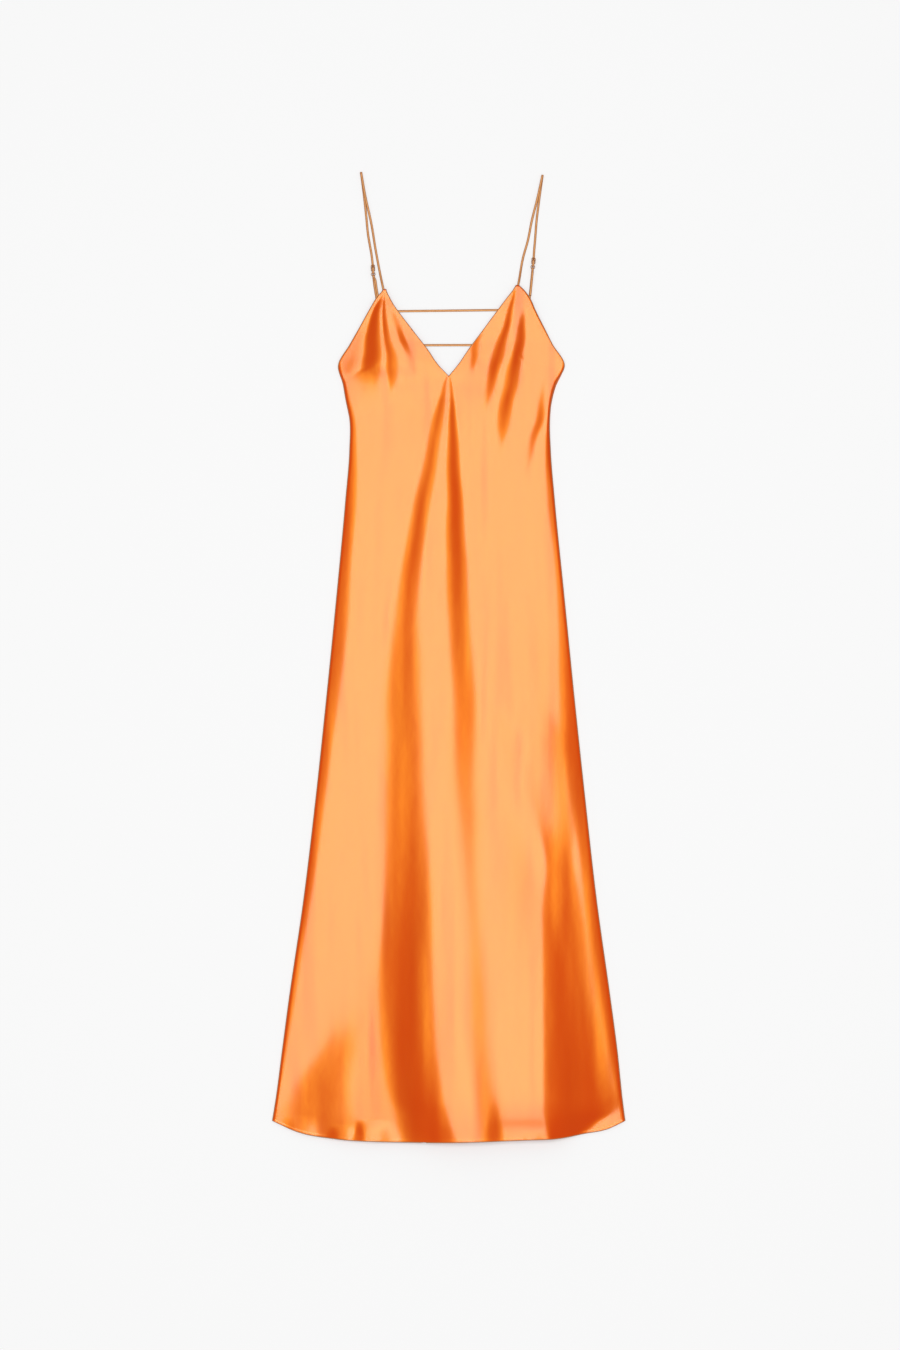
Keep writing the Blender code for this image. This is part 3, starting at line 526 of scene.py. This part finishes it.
# ---- Colours and grain ----
SATINS = {
    # base colour, colour of the gloss, specular level, roughness, coat
    "satin_face": ((0.635, 0.041, 0.0005), (1.0, 0.525, 0.046), 1.0, 0.34, 0.175),
    "satin_inside": ((0.66, 0.085, 0.014), (1.0, 0.62, 0.30), 0.5, 0.50, 0.0),
    # the edge satin is a darker, browner copy of the face satin for the front's rounded edges:
    # painted shade of the edge's turn
    "satin_edge_painted_shade": ((0.40, 0.150, 0.045), (1.0, 0.62, 0.28), 0.5, 0.45, 0.0),
    # the rouleau satin is a darker, browner copy of the satin for the straps, tabs and ladder straps:
    # painted shade of the narrow tubes
    "rouleau_satin_painted_shade": ((0.36, 0.130, 0.042), (1.0, 0.62, 0.28), 0.8, 0.32, 0.0),
}
DEEPER = 0.93             # the satin's darkest and lightest shades, as shares of its base colour
LIGHTER = 1.05
ROUGHNESS_SPREAD = 0.015
COAT_ROUGHNESS = 0.14
SHEEN = 0.08
SHEEN_TINT = (1.0, 0.55, 0.25)
SATIN_IOR = 1.5

# Noise: features per metre across the dress, along it and up
CLOUDS = (9, 3, 9)
STREAKS = (24, 3, 24)
CRUMPLES = (50, 30, 50)
THREADS = (900, 60, 900)
WEAR = (700, 700, 700)
GRAIN = (2500, 2500, 2500)
# and how high it stands, in metres
STREAK_BUMP = 0.0022
CRUMPLE_BUMP = 0.0002
THREAD_BUMP = 0.000015
GRAIN_BUMP = 0.00002

DARK_BRONZE = (0.15, 0.062, 0.022)
WORN_BRONZE = (0.30, 0.135, 0.048)
BRONZE_ROUGHNESS = (0.42, 0.30)   # dark, worn

# ---- Light and camera ----
FLOOR_GREY = 0.885
FLOOR_HALF = 40.0
FLOOR_DROP = 0.0002
SOFTBOX = (1.9, 5.6)
SOFTBOX_UP = 10.0
SOFTBOX_WATTS = 705.0
SURROUND = 0.40           # strength of the white surroundings
CAMERA_UP = 8.0
CAMERA_X = 0.0019
CAMERA_Y = -0.027
PHOTO_HEIGHT = 2.025      # the photo's 1350 pixels at 1.5 mm each
SENSOR = 36.0             # millimetres
CLIP_END = 200.0


# ---- Curves through table rows ----
def smooth_rows(rows, at):
    """Every column after the first, as smooth curves through the rows."""
    rows = np.array(sorted(rows))
    keys = rows[:, 0]
    at = np.clip(at, keys[0], keys[-1])
    row = np.clip(np.searchsorted(keys, at) - 1, 0, len(keys) - 2)
    span = keys[row + 1] - keys[row]
    t = (at - keys[row]) / span
    blend = t * t * (3 - 2 * t)
    leaving = t * (1 - t) ** 2 * span
    arriving = t * t * (t - 1) * span
    curves = []
    for values in rows[:, 1:].T:
        slopes = np.gradient(values, keys)
        curves.append(values[row] + (values[row + 1] - values[row]) * blend
                      + leaving * slopes[row] + arriving * slopes[row + 1])
    return curves


def eased(at, rows):
    """A value along a strap: level at each row, with soft steps between the rows."""
    keys = [key for key, _ in rows]
    row = int(np.clip(np.searchsorted(keys, at) - 1, 0, len(keys) - 2))
    t = np.clip((at - keys[row]) / (keys[row + 1] - keys[row]), 0, 1)
    return rows[row][1] + (rows[row + 1][1] - rows[row][1]) * t * t * (3 - 2 * t)


def soft_step(t, low=0.40, high=0.40):
    """0 to 1, straight in the middle; low and high are the shares rounded at its ends."""
    t = np.clip(t, 0, 1)
    rate = 1 / (1 - low / 2 - high / 2)
    start = rate * t * t / (2 * low)
    end = 1 - rate * (1 - t) ** 2 / (2 * high)
    return np.where(t < low, start, np.where(t > 1 - high, end, rate * (t - low / 2)))


# ---- The cloth's height ----
def below_dart(x, up):
    """0 above the dart's line, 1 below it."""
    return soft_step((smooth_rows(DART, x)[0] - up) / DART_WIDTH + 0.5)


def fold_lift(name, fold, x, up):
    """How far a fold lifts the cloth, from the top of its rows to their foot."""
    (in_foot, in_top, out_top, out_foot), rows = fold
    left_foot, left_top, right_top, right_foot, height = smooth_rows(rows, up)
    rise = soft_step((x - left_foot) / (left_top - left_foot), in_foot, in_top)
    if name in DART_FOLDS:
        spread = soft_step((x - DART_FOOT) / (DART_TOP - DART_FOOT), *DART_ROUNDING)
        rise = rise + (spread - rise) * below_dart(x, up)
    fall = soft_step((x - right_top) / (right_foot - right_top), out_top, out_foot)
    ups = [row[0] for row in rows]
    within = (up >= min(ups)) & (up <= max(ups))
    return np.where(within, height * rise * (1 - fall), 0)


def crease_lift(crease, x, up):
    """How far a short crease lifts the cloth; it fades toward its ends and its sides."""
    from_x, from_up, to_x, to_up, half_width, lift = crease
    run = np.array((to_x - from_x, to_up - from_up))
    share = np.clip(((x - from_x) * run[0] + (up - from_up) * run[1]) / (run @ run), 0, 1)
    off = np.hypot(x - from_x - share * run[0], up - from_up - share * run[1]) / half_width
    return lift * np.sqrt(np.sin(np.pi * share)) * np.clip(1 - off * off, 0, 1) ** 2


def side_roll(distance, lift, rise, fall):
    """The swelling beside a seam, and how far the cloth has come up from the seam, 0 to 1."""
    come_up = 1 - np.clip(1 - distance / rise, 0, 1) ** 2
    going_down = 1 - soft_step((distance - rise) / fall, *ROLL_ROUNDING)
    return lift * come_up * going_down, come_up


def turned_edge(distance, width, drop):
    """How far a rounded edge turns down, from 0 at width inside it to drop at the edge itself."""
    share = np.clip(1 - distance / width, 0, 1)
    return drop * (1 - np.sqrt(1 - share * share * EDGE_ROUND)) / EDGE_FALL


def front_height(x, up):
    left, right = smooth_rows(SIDES, up)
    left_lift, left_rise, left_fall, right_lift, right_rise, right_fall = smooth_rows(ROLLS, up)
    left_roll, left_share = side_roll(x - left, left_lift, left_rise, left_fall)
    right_roll, right_share = side_roll(right - x, right_lift, right_rise, right_fall)
    folds = sum(fold_lift(name, fold, x, up) for name, fold in FRONT_FOLDS.items())
    folds = folds + sum(crease_lift(crease, x, up) for crease in CREASES)
    cup = CUP_LIFT * soft_step((up - CUP_LIFT_FROM) / CUP_LIFT_RUN)
    return FRONT_REST + cup + folds * left_share * right_share + left_roll + right_roll


def back_height(x, up):
    return BACK_CLOTH + sum(fold_lift(name, fold, x, up) for name, fold in BACK_FOLDS.items())


# ---- The cloth's rows and columns ----
# A row's level is its height above the hem's lowest point, before the hem's curve lifts it.
def row_levels(bands):
    levels = [bands[0][0]]
    for start, end, rows in bands:
        levels += [start + (end - start) * (k + 1) / rows for k in range(rows)]
    return levels


def half_levels(side):
    return row_levels(FRONT_ROWS + ((SIDE_TOP, CUP_TOPS[side], CUP_ROWS),))


def hem_share(level):
    """How much of the hem's curve a row still follows."""
    return max(0.0, 1 - level / HEM_REACH) ** 2


def crowded_columns(level, start, end, folds, columns):
    """x of each column, closer on the folds' flanks, with two narrow ones at each edge."""
    samples = np.linspace(start + EDGE_TURN, end - EDGE_TURN, COLUMN_SAMPLES)
    count = (samples - start) / (end - start) * columns / 2
    for _, rows in folds.values():
        left_foot, left_top, right_top, right_foot, height = smooth_rows(rows, level)
        drawn = CROWDING * min(1.0, abs(height) / CROWDING_FOLD)
        count = count + drawn * np.clip((samples - left_foot) / (left_top - left_foot), 0, 1)
        count = count + drawn * np.clip((samples - right_top) / (right_foot - right_top), 0, 1)
    count = count + CROWDING * np.clip((samples - start) / CROWDING_BAND, 0, 1)
    count = count - CROWDING * np.clip((end - samples) / CROWDING_BAND, 0, 1)
    wanted = np.linspace(count[0], count[-1], columns + 1 - 2 * EDGE_COLUMNS)
    inner = np.interp(wanted, count, samples)
    return np.concatenate(([start, start + EDGE_TURN / 2], inner, [end - EDGE_TURN / 2, end]))


def hem_line(x):
    return smooth_rows(HEM, x)[0]


def back_top_drop(x):
    """How far the back's top edge lies below the tops of the side seams."""
    left, right = smooth_rows(SIDES, SIDE_TOP)
    across = (2 * x - left - right) / (right - left)
    return BACK_DIP * (1 - across * across)


def place(x, up, height):
    """A point of the tables in the dress's frame."""
    return Vector((x, up - LENGTH / 2, height))


# ---- Building blocks ----
def add_piece(name, points, faces, materials, replaces):
    mesh = bpy.data.meshes.new(name)
    mesh.from_pydata(points, [], faces)
    for material in materials:
        mesh.materials.append(material)
    mesh.shade_smooth()
    piece = bpy.data.objects.new(name, mesh)
    bpy.context.scene.collection.objects.link(piece)
    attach(piece, "root")
    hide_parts(replaces)
    return piece


def grid_faces(rows, columns, first=0):
    faces = []
    for row in range(rows):
        for column in range(columns):
            corner = first + row * (columns + 1) + column
            faces.append((corner, corner + 1, corner + columns + 2, corner + columns + 1))
    return faces


def wall(piece, thickness, inner_material):
    """Thickens the cloth below its outer face; inner_material counts on from the face's own."""
    shell = piece.modifiers.new("Wall", "SOLIDIFY")
    shell.thickness = thickness
    shell.offset = -1.0
    shell.use_even_offset = True
    shell.material_offset = inner_material


def tube_mesh(stations, half_width, half_height, closed=False):
    """Points and faces of a flattened tube along stations of (middle, direction across)."""
    count = len(stations)
    points = []
    for k, (middle, across) in enumerate(stations):
        if closed:
            along = stations[(k + 1) % count][0] - stations[k - 1][0]
        else:
            along = stations[min(k + 1, count - 1)][0] - stations[max(k - 1, 0)][0]
        normal = across.cross(along).normalized()
        for side in range(TUBE_SIDES):
            angle = 2 * math.pi * side / TUBE_SIDES
            c, s = math.cos(angle), math.sin(angle)
            c = math.copysign(abs(c) ** TUBE_POWER, c)
            s = math.copysign(abs(s) ** TUBE_POWER, s)
            points.append(middle + across * (half_width * c) + normal * (half_height * s))
    faces = []
    for k in range(count if closed else count - 1):
        here, there = k * TUBE_SIDES, (k + 1) % count * TUBE_SIDES
        for side in range(TUBE_SIDES):
            after = (side + 1) % TUBE_SIDES
            faces.append((here + side, here + after, there + after, there + side))
    if not closed:
        faces.append(tuple(reversed(range(TUBE_SIDES))))
        faces.append(tuple(range((count - 1) * TUBE_SIDES, count * TUBE_SIDES)))
    return points, faces


# ---- Materials ----
def opaque(colour):
    return (*colour, 1)


class Nodes:
    """A material's node tree, with short calls for the nodes used here."""

    def __init__(self, name):
        self.material = bpy.data.materials.new(name)
        self.material.use_nodes = True
        self.tree = self.material.node_tree
        self.inputs = self.tree.nodes["Principled BSDF"].inputs
        self.place = self.tree.nodes.new("ShaderNodeTexCoord").outputs["Object"]

    def link(self, source, target):
        self.tree.links.new(source, target)

    def noise(self, scale, detail=2.0):
        stretch = self.tree.nodes.new("ShaderNodeMapping")
        stretch.inputs["Scale"].default_value = scale
        self.link(self.place, stretch.inputs["Vector"])
        node = self.tree.nodes.new("ShaderNodeTexNoise")
        node.inputs["Scale"].default_value = 1.0
        node.inputs["Detail"].default_value = detail
        self.link(stretch.outputs["Vector"], node.inputs["Vector"])
        return node.outputs["Fac"]

    def remap(self, value, low, high, from_low=0.3, from_high=0.7):
        """Stretches from_low to from_high, the usual range of a noise, to low to high."""
        node = self.tree.nodes.new("ShaderNodeMapRange")
        node.inputs["From Min"].default_value = from_low
        node.inputs["From Max"].default_value = from_high
        node.inputs["To Min"].default_value = low
        node.inputs["To Max"].default_value = high
        self.link(value, node.inputs["Value"])
        return node.outputs["Result"]

    def mix(self, share, first, second):
        node = self.tree.nodes.new("ShaderNodeMix")
        node.data_type = "RGBA"
        self.link(share, node.inputs["Factor"])
        node.inputs["A"].default_value = opaque(first)
        node.inputs["B"].default_value = opaque(second)
        return node.outputs["Result"]

    def bump(self, height, distance, before=None):
        node = self.tree.nodes.new("ShaderNodeBump")
        node.inputs["Strength"].default_value = 1.0
        node.inputs["Distance"].default_value = distance
        self.link(height, node.inputs["Height"])
        if before is not None:
            self.link(before, node.inputs["Normal"])
        return node.outputs["Normal"]


def satin(name):
    """Warp-faced satin: soft lengthwise streaks, a fine thread grain and a coloured gloss."""
    colour, gloss, specular, roughness, coat = SATINS[name]
    nodes = Nodes(name)
    inputs = nodes.inputs
    deep = [DEEPER * c for c in colour]
    light = [LIGHTER * c for c in colour]
    cloudy = nodes.noise(CLOUDS, detail=3.0)
    thread = nodes.noise(THREADS)
    nodes.link(nodes.mix(nodes.remap(cloudy, 0.0, 1.0), deep, light), inputs["Base Color"])
    rough = nodes.remap(thread, roughness - ROUGHNESS_SPREAD, roughness + ROUGHNESS_SPREAD)
    nodes.link(rough, inputs["Roughness"])
    normal = nodes.bump(nodes.noise(STREAKS, detail=1.0), STREAK_BUMP)
    normal = nodes.bump(nodes.noise(CRUMPLES), CRUMPLE_BUMP, normal)
    normal = nodes.bump(thread, THREAD_BUMP, normal)
    nodes.link(normal, inputs["Normal"])
    inputs["IOR"].default_value = SATIN_IOR
    inputs["Specular IOR Level"].default_value = specular
    inputs["Specular Tint"].default_value = opaque(gloss)
    inputs["Coat Weight"].default_value = coat
    inputs["Coat Roughness"].default_value = COAT_ROUGHNESS
    inputs["Sheen Weight"].default_value = SHEEN
    inputs["Sheen Tint"].default_value = opaque(SHEEN_TINT)
    return nodes.material


def bronze(name):
    nodes = Nodes(name)
    worn = nodes.remap(nodes.noise(WEAR, detail=3.0), 0.0, 1.0)
    nodes.link(nodes.mix(worn, DARK_BRONZE, WORN_BRONZE), nodes.inputs["Base Color"])
    nodes.link(nodes.remap(worn, *BRONZE_ROUGHNESS, 0.0, 1.0), nodes.inputs["Roughness"])
    nodes.link(nodes.bump(nodes.noise(GRAIN), GRAIN_BUMP), nodes.inputs["Normal"])
    nodes.inputs["Metallic"].default_value = 1.0
    return nodes.material


def floor_material():
    nodes = Nodes("studio_floor")
    nodes.inputs["Base Color"].default_value = (FLOOR_GREY, FLOOR_GREY, FLOOR_GREY, 1)
    nodes.inputs["Roughness"].default_value = 1.0
    nodes.inputs["Specular IOR Level"].default_value = 0.0
    return nodes.material


# ---- Front and back ----
def side_drop(distance, up):
    """Drop of the front's outer face at a side: a seam below the arms, a finished edge above."""
    below_arms = soft_step((SEAM_END - up) / SEAM_FADE)
    seam = turned_edge(distance, SEAM_TURN, SEAM_DROP)
    armhole = turned_edge(distance, EDGE_TURN, EDGE_DROP)
    return below_arms * seam + (1 - below_arms) * armhole


def hem_shape(level):
    """The hem's turned strip stands a little proud and its edge is rounded."""
    strip = HEM_STEP * soft_step((HEM_FOLD + HEM_STEP_RUN / 2 - level) / HEM_STEP_RUN)
    return strip - turned_edge(level, EDGE_TURN, EDGE_DROP)


def front_row(side, level):
    """A row of one half of the front, from its left end to its right."""
    left, right = smooth_rows(SIDES, level + HEM_CORNER * hem_share(level))
    neck_left, neck_right = smooth_rows(NECK, level)
    start, end = (left, neck_left) if side == "left" else (neck_right, right)
    x = crowded_columns(level, start, end, FRONT_FOLDS, HALF_COLUMNS)
    up = level + hem_line(x) * hem_share(level)
    from_side, from_neck = (x - start, end - x) if side == "left" else (end - x, x - start)
    z = front_height(x, up) + hem_shape(level) - side_drop(from_side, up)
    if level > NECK_POINT:
        z = z - turned_edge(from_neck, EDGE_TURN, EDGE_DROP)
    return [place(*point) for point in zip(x, up, z)]


def is_painted_edge_shade(side, level, column):
    """Whether a cell of a half lies in the narrow edge band of the hem, side, armhole or neck, which
    gets the satin painted darker and browner as shade.
    """
    at_left = column < EDGE_COLUMNS
    at_right = column >= HALF_COLUMNS - EDGE_COLUMNS
    outer, inner = (at_left, at_right) if side == "left" else (at_right, at_left)
    return outer or level < EDGE_TURN or (inner and level >= NECK_POINT)


def build_front(materials):
    """materials: outer face, its inner face, edge band with the satin painted darker as shade, its
    inner face.
    """
    points = []
    faces = []
    slots = []
    for side in ("left", "right"):
        levels = half_levels(side)
        faces += grid_faces(len(levels) - 1, HALF_COLUMNS, len(points))
        points += [point for level in levels for point in front_row(side, level)]
        # slot 2, on the edge band, is the satin painted darker and browner as shade
        slots += [2 if is_painted_edge_shade(side, level, column) else 0
                  for level in levels[:-1] for column in range(HALF_COLUMNS)]
    piece = add_piece("satin_front", points, faces, materials, "front")
    piece.data.polygons.foreach_set("material_index", slots)
    piece.modifiers.new("Join", "WELD").merge_threshold = WELD_WITHIN
    wall(piece, SHELL, 1)


def build_back(materials):
    points = []
    levels = row_levels(BACK_ROWS)
    for level in levels:
        left, right = smooth_rows(SIDES, level + HEM_CORNER * hem_share(level))
        left, right = left + BACK_INSET, right - BACK_INSET
        x = crowded_columns(level, left, right, BACK_FOLDS, BACK_COLUMNS)
        top_share = max(0.0, (level - BACK_SHAPED_FROM) / (SIDE_TOP - BACK_SHAPED_FROM)) ** 2
        hem_rise = (hem_line(x) + BACK_HEM_RISE) * hem_share(level)
        up = level + hem_rise - back_top_drop(x) * top_share
        z = back_height(x, up)
        for distance in (x - left, right - x, level, SIDE_TOP - level):
            z = z - turned_edge(distance, EDGE_TURN, EDGE_DROP / 2)
        points += [place(*point) for point in zip(x, up, z)]
    faces = grid_faces(len(levels) - 1, BACK_COLUMNS)
    piece = add_piece("satin_back", points, faces, materials, "back")
    wall(piece, BACK_SHELL, 0)


# ---- Straps, tabs and ladder straps ----
def leg_x(side, leg, up):
    return float(smooth_rows(LEGS[side][leg], up)[0])


def leg_slope(side, leg, up):
    """Sideways shift of a leg for each unit up."""
    above, below = leg_x(side, leg, up + SLOPE_STEP), leg_x(side, leg, up - SLOPE_STEP)
    return (above - below) / (2 * SLOPE_STEP)


def leg_station(side, share, up, height, shift=0.0):
    """A strap's middle and its direction across, share of the way from front leg to back leg."""
    x = (1 - share) * leg_x(side, "front", up) + share * leg_x(side, "back", up)
    slope = (1 - share) * leg_slope(side, "front", up) + share * leg_slope(side, "back", up)
    return place(x + shift, up, height), Vector((1, -slope, 0)).normalized()


def back_stations(side, ups, height):
    """Stations along the back leg, all at one height."""
    return [leg_station(side, 1.0, up, height) for up in ups]


def turn(centre_up, low, high, toward):
    """(up, height) round a half circle from high to low, bulging up (+1) or down (-1)."""
    radius = (high - low) / 2
    angles = [math.pi * k / BEND_STEPS for k in range(BEND_STEPS + 1)]
    return [(centre_up + toward * radius * math.sin(a), (high + low) / 2 + radius * math.cos(a))
            for a in angles]


def strap_stations(side):
    """From under the cup's point over the tip, through the slider, round the ring and back."""
    slider = SLIDERS_UP[side]
    ring_bend = slider - SLIDER_TO_RING + TURN_REACH
    end = LEGS[side]["front"][0][0]
    tip = LEGS[side]["front"][-1][0]
    cup_top = CUP_TOPS[side]
    tucked = FRONT_REST + CUP_LIFT - FRONT_CLOTH - GAP - STRAP_CLOTH / 2
    front_heights = (
        (end, tucked),
        (cup_top, tucked),
        (cup_top + TUCK_RUN, SURFACE_LAYER),
        (tip - LEGS_PART - CLIMB_RUN, SURFACE_LAYER),
        (tip - LEGS_PART, SECOND_LAYER),
        (tip, SECOND_LAYER),
    )
    fold = tip - STRAP_CLOTH / 2 - (SECOND_LAYER - SURFACE_LAYER) / 2
    stations = [leg_station(side, 0.0, up, eased(up, front_heights))
                for up in np.linspace(end, fold, FRONT_LEG_STATIONS)[:-1]]
    for k, (up, height) in enumerate(turn(fold, SURFACE_LAYER, SECOND_LAYER, 1)):
        stations.append(leg_station(side, k / BEND_STEPS, up, height))

    top_bar = slider + TOP_BAR * SLIDER_LENGTH
    mid_bar = slider + MIDDLE_BAR * SLIDER_LENGTH
    strap_end = slider + STRAP_END * SLIDER_LENGTH
    back_leg = np.linspace(fold, top_bar, BACK_LEG_STATIONS)[1:]
    stations += back_stations(side, back_leg, SURFACE_LAYER)
    weave = ((mid_bar, TOP_LAYER), (top_bar, SURFACE_LAYER))
    for up in np.linspace(top_bar, mid_bar, WEAVE_STATIONS)[1:]:
        stations.append(leg_station(side, 1.0, up, eased(up, weave)))
    down = np.linspace(mid_bar, ring_bend, SHORT_STATIONS)[1:-1]
    stations += back_stations(side, down, TOP_LAYER)
    for up, height in turn(ring_bend, SURFACE_LAYER, TOP_LAYER, -1):
        stations.append(leg_station(side, 1.0, up, height))
    return_leg = np.linspace(ring_bend, strap_end, SHORT_STATIONS)[1:]
    return stations + back_stations(side, return_leg, SURFACE_LAYER)


def tab_stations(side):
    """From the tab's doubled end up, round the ring and down to the back's top edge."""
    ring = SLIDERS_UP[side] - SLIDER_TO_RING
    bend = ring - TURN_REACH
    cut_end = ring - TAB_DOUBLED
    upper = ((cut_end, SECOND_LAYER), (bend - RING_RUN, SECOND_LAYER), (bend, TOP_LAYER))
    spread = ((cut_end, TAB_SPREAD[side]), (bend - RING_RUN, TAB_SPREAD[side]), (bend, 0.0))
    stations = [leg_station(side, 1.0, up, eased(up, upper), eased(up, spread))
                for up in np.linspace(cut_end, bend, DOUBLED_STATIONS)[:-1]]
    for up, height in turn(bend, SURFACE_LAYER, TOP_LAYER, 1):
        stations.append(leg_station(side, 1.0, up, height))
    seam = SIDE_TOP - back_top_drop(leg_x(side, "back", SIDE_TOP)) + 2 * GAP
    return stations + back_stations(side, np.linspace(bend, seam, TAB_STATIONS)[1:], SURFACE_LAYER)


def ladder_stations(left_up, right_up):
    """Straight across the open back, from tab to tab."""
    clear = STRAP_WIDTH / 2 + 2 * GAP
    left = place(leg_x("left", "back", left_up) + clear, left_up, SURFACE_LAYER)
    right = place(leg_x("right", "back", right_up) - clear, right_up, SURFACE_LAYER)
    along = (right - left).normalized()
    across = Vector((along.y, -along.x, 0))
    return [(left.lerp(right, k / (LADDER_STATIONS - 1)), across) for k in range(LADDER_STATIONS)]


def build_tube(name, stations, material):
    points, faces = tube_mesh(stations, STRAP_WIDTH / 2, STRAP_CLOTH / 2 - TUBE_TRIM)
    add_piece("rouleau_" + name, points, faces, [material], name)


# ---- Rings and sliders ----
def wire_loop(centre, turned, points):
    """A closed wire through points round centre, turned in the plane of the surface."""
    c, s = math.cos(turned), math.sin(turned)
    middles = [centre + Vector((c * x - s * y, s * x + c * y, 0)) for x, y in points]
    stations = []
    for k, middle in enumerate(middles):
        along = (middles[(k + 1) % len(middles)] - middles[k - 1]).normalized()
        stations.append((middle, Vector((along.y, -along.x, 0))))
    return tube_mesh(stations, WIRE / 2, WIRE / 2, closed=True)


def ring_points():
    angles = [2 * math.pi * k / RING_STATIONS for k in range(RING_STATIONS)]
    return [(RING_RADIUS * math.cos(angle), RING_RADIUS * math.sin(angle)) for angle in angles]


def slider_points():
    """The slider's outer frame, a rounded rectangle along the middle of its wire."""
    out_x = (SLIDER_WIDTH - WIRE) / 2 - SLIDER_CORNER
    out_y = (SLIDER_LENGTH - WIRE) / 2 - SLIDER_CORNER
    points = []
    for corner, (x, y) in enumerate(((1, 1), (-1, 1), (-1, -1), (1, -1))):
        for k in range(CORNER_STATIONS):
            angle = math.pi / 2 * (corner + k / (CORNER_STATIONS - 1))
            points.append((x * out_x + SLIDER_CORNER * math.cos(angle),
                           y * out_y + SLIDER_CORNER * math.sin(angle)))
    return points


def build_hardware(side, material):
    up = SLIDERS_UP[side]
    turned = -math.atan(leg_slope(side, "back", up))
    centre = place(leg_x(side, "back", up), up, WIRE_LAYER)
    points, faces = wire_loop(centre, turned, slider_points())
    along_bar = Vector((math.cos(turned), math.sin(turned), 0))
    across_bar = Vector((-along_bar.y, along_bar.x, 0))
    half_bar = (SLIDER_WIDTH - WIRE) / 2
    bar = [(centre + along_bar * (half_bar * (2 * k / (BAR_STATIONS - 1) - 1)), across_bar)
           for k in range(BAR_STATIONS)]
    bar_points, bar_faces = tube_mesh(bar, WIRE / 2, WIRE / 2)
    faces += [tuple(len(points) + corner for corner in face) for face in bar_faces]
    points += bar_points
    add_piece("fine_slider_" + side, points, faces, [material], "slider_" + side)
    ring_up = up - SLIDER_TO_RING
    ring_centre = place(leg_x(side, "back", ring_up), ring_up, WIRE_LAYER)
    points, faces = wire_loop(ring_centre, 0.0, ring_points())
    add_piece("fine_ring_" + side, points, faces, [material], "ring_" + side)


# ---- Studio ----
def build_floor():
    corners = [(x * FLOOR_HALF, y * FLOOR_HALF, -FLOOR_DROP)
               for x, y in ((-1, -1), (1, -1), (1, 1), (-1, 1))]
    mesh = bpy.data.meshes.new("floor")
    mesh.from_pydata(corners, [], [(0, 1, 2, 3)])
    mesh.materials.append(floor_material())
    floor = bpy.data.objects.new("floor", mesh)
    bpy.context.scene.collection.objects.link(floor)


def build_light():
    softbox = bpy.data.lights.new("softbox", "AREA")
    softbox.shape = "RECTANGLE"
    softbox.size, softbox.size_y = SOFTBOX
    softbox.energy = SOFTBOX_WATTS
    lamp = bpy.data.objects.new("softbox", softbox)
    lamp.location = (0.0, 0.0, SOFTBOX_UP)
    bpy.context.scene.collection.objects.link(lamp)

    world = bpy.data.worlds.new("studio")
    world.use_nodes = True
    background = world.node_tree.nodes["Background"]
    background.inputs["Color"].default_value = (1.0, 1.0, 1.0, 1)
    background.inputs["Strength"].default_value = SURROUND
    bpy.context.scene.world = world
    bpy.context.scene.view_settings.view_transform = "Standard"


def build_camera():
    camera = bpy.data.cameras.new("camera")
    camera.lens = SENSOR * CAMERA_UP / PHOTO_HEIGHT
    camera.sensor_width = SENSOR
    camera.clip_end = CLIP_END
    eye = bpy.data.objects.new("camera", camera)
    eye.location = (CAMERA_X, CAMERA_Y, CAMERA_UP)
    bpy.context.scene.collection.objects.link(eye)
    bpy.context.scene.camera = eye


# ---- The dress ----
def build_dress():
    face, inside, edge, rouleau = [satin(name) for name in SATINS]
    metal = bronze("bronze")
    build_back([face])
    # the front's edge band gets the edge satin, painted darker and browner as shade
    build_front([face, inside, edge, inside])
    for side in ("left", "right"):
        # straps, tabs and ladder straps wear the rouleau satin, painted darker and browner as the
        # shade of the narrow tubes
        build_tube("strap_" + side, strap_stations(side), rouleau)
        build_tube("tab_" + side, tab_stations(side), rouleau)
        build_hardware(side, metal)
    for name, left_up, right_up in LADDERS:
        build_tube(name, ladder_stations(left_up, right_up), rouleau)


build_floor()
build_light()
build_camera()
build_dress()
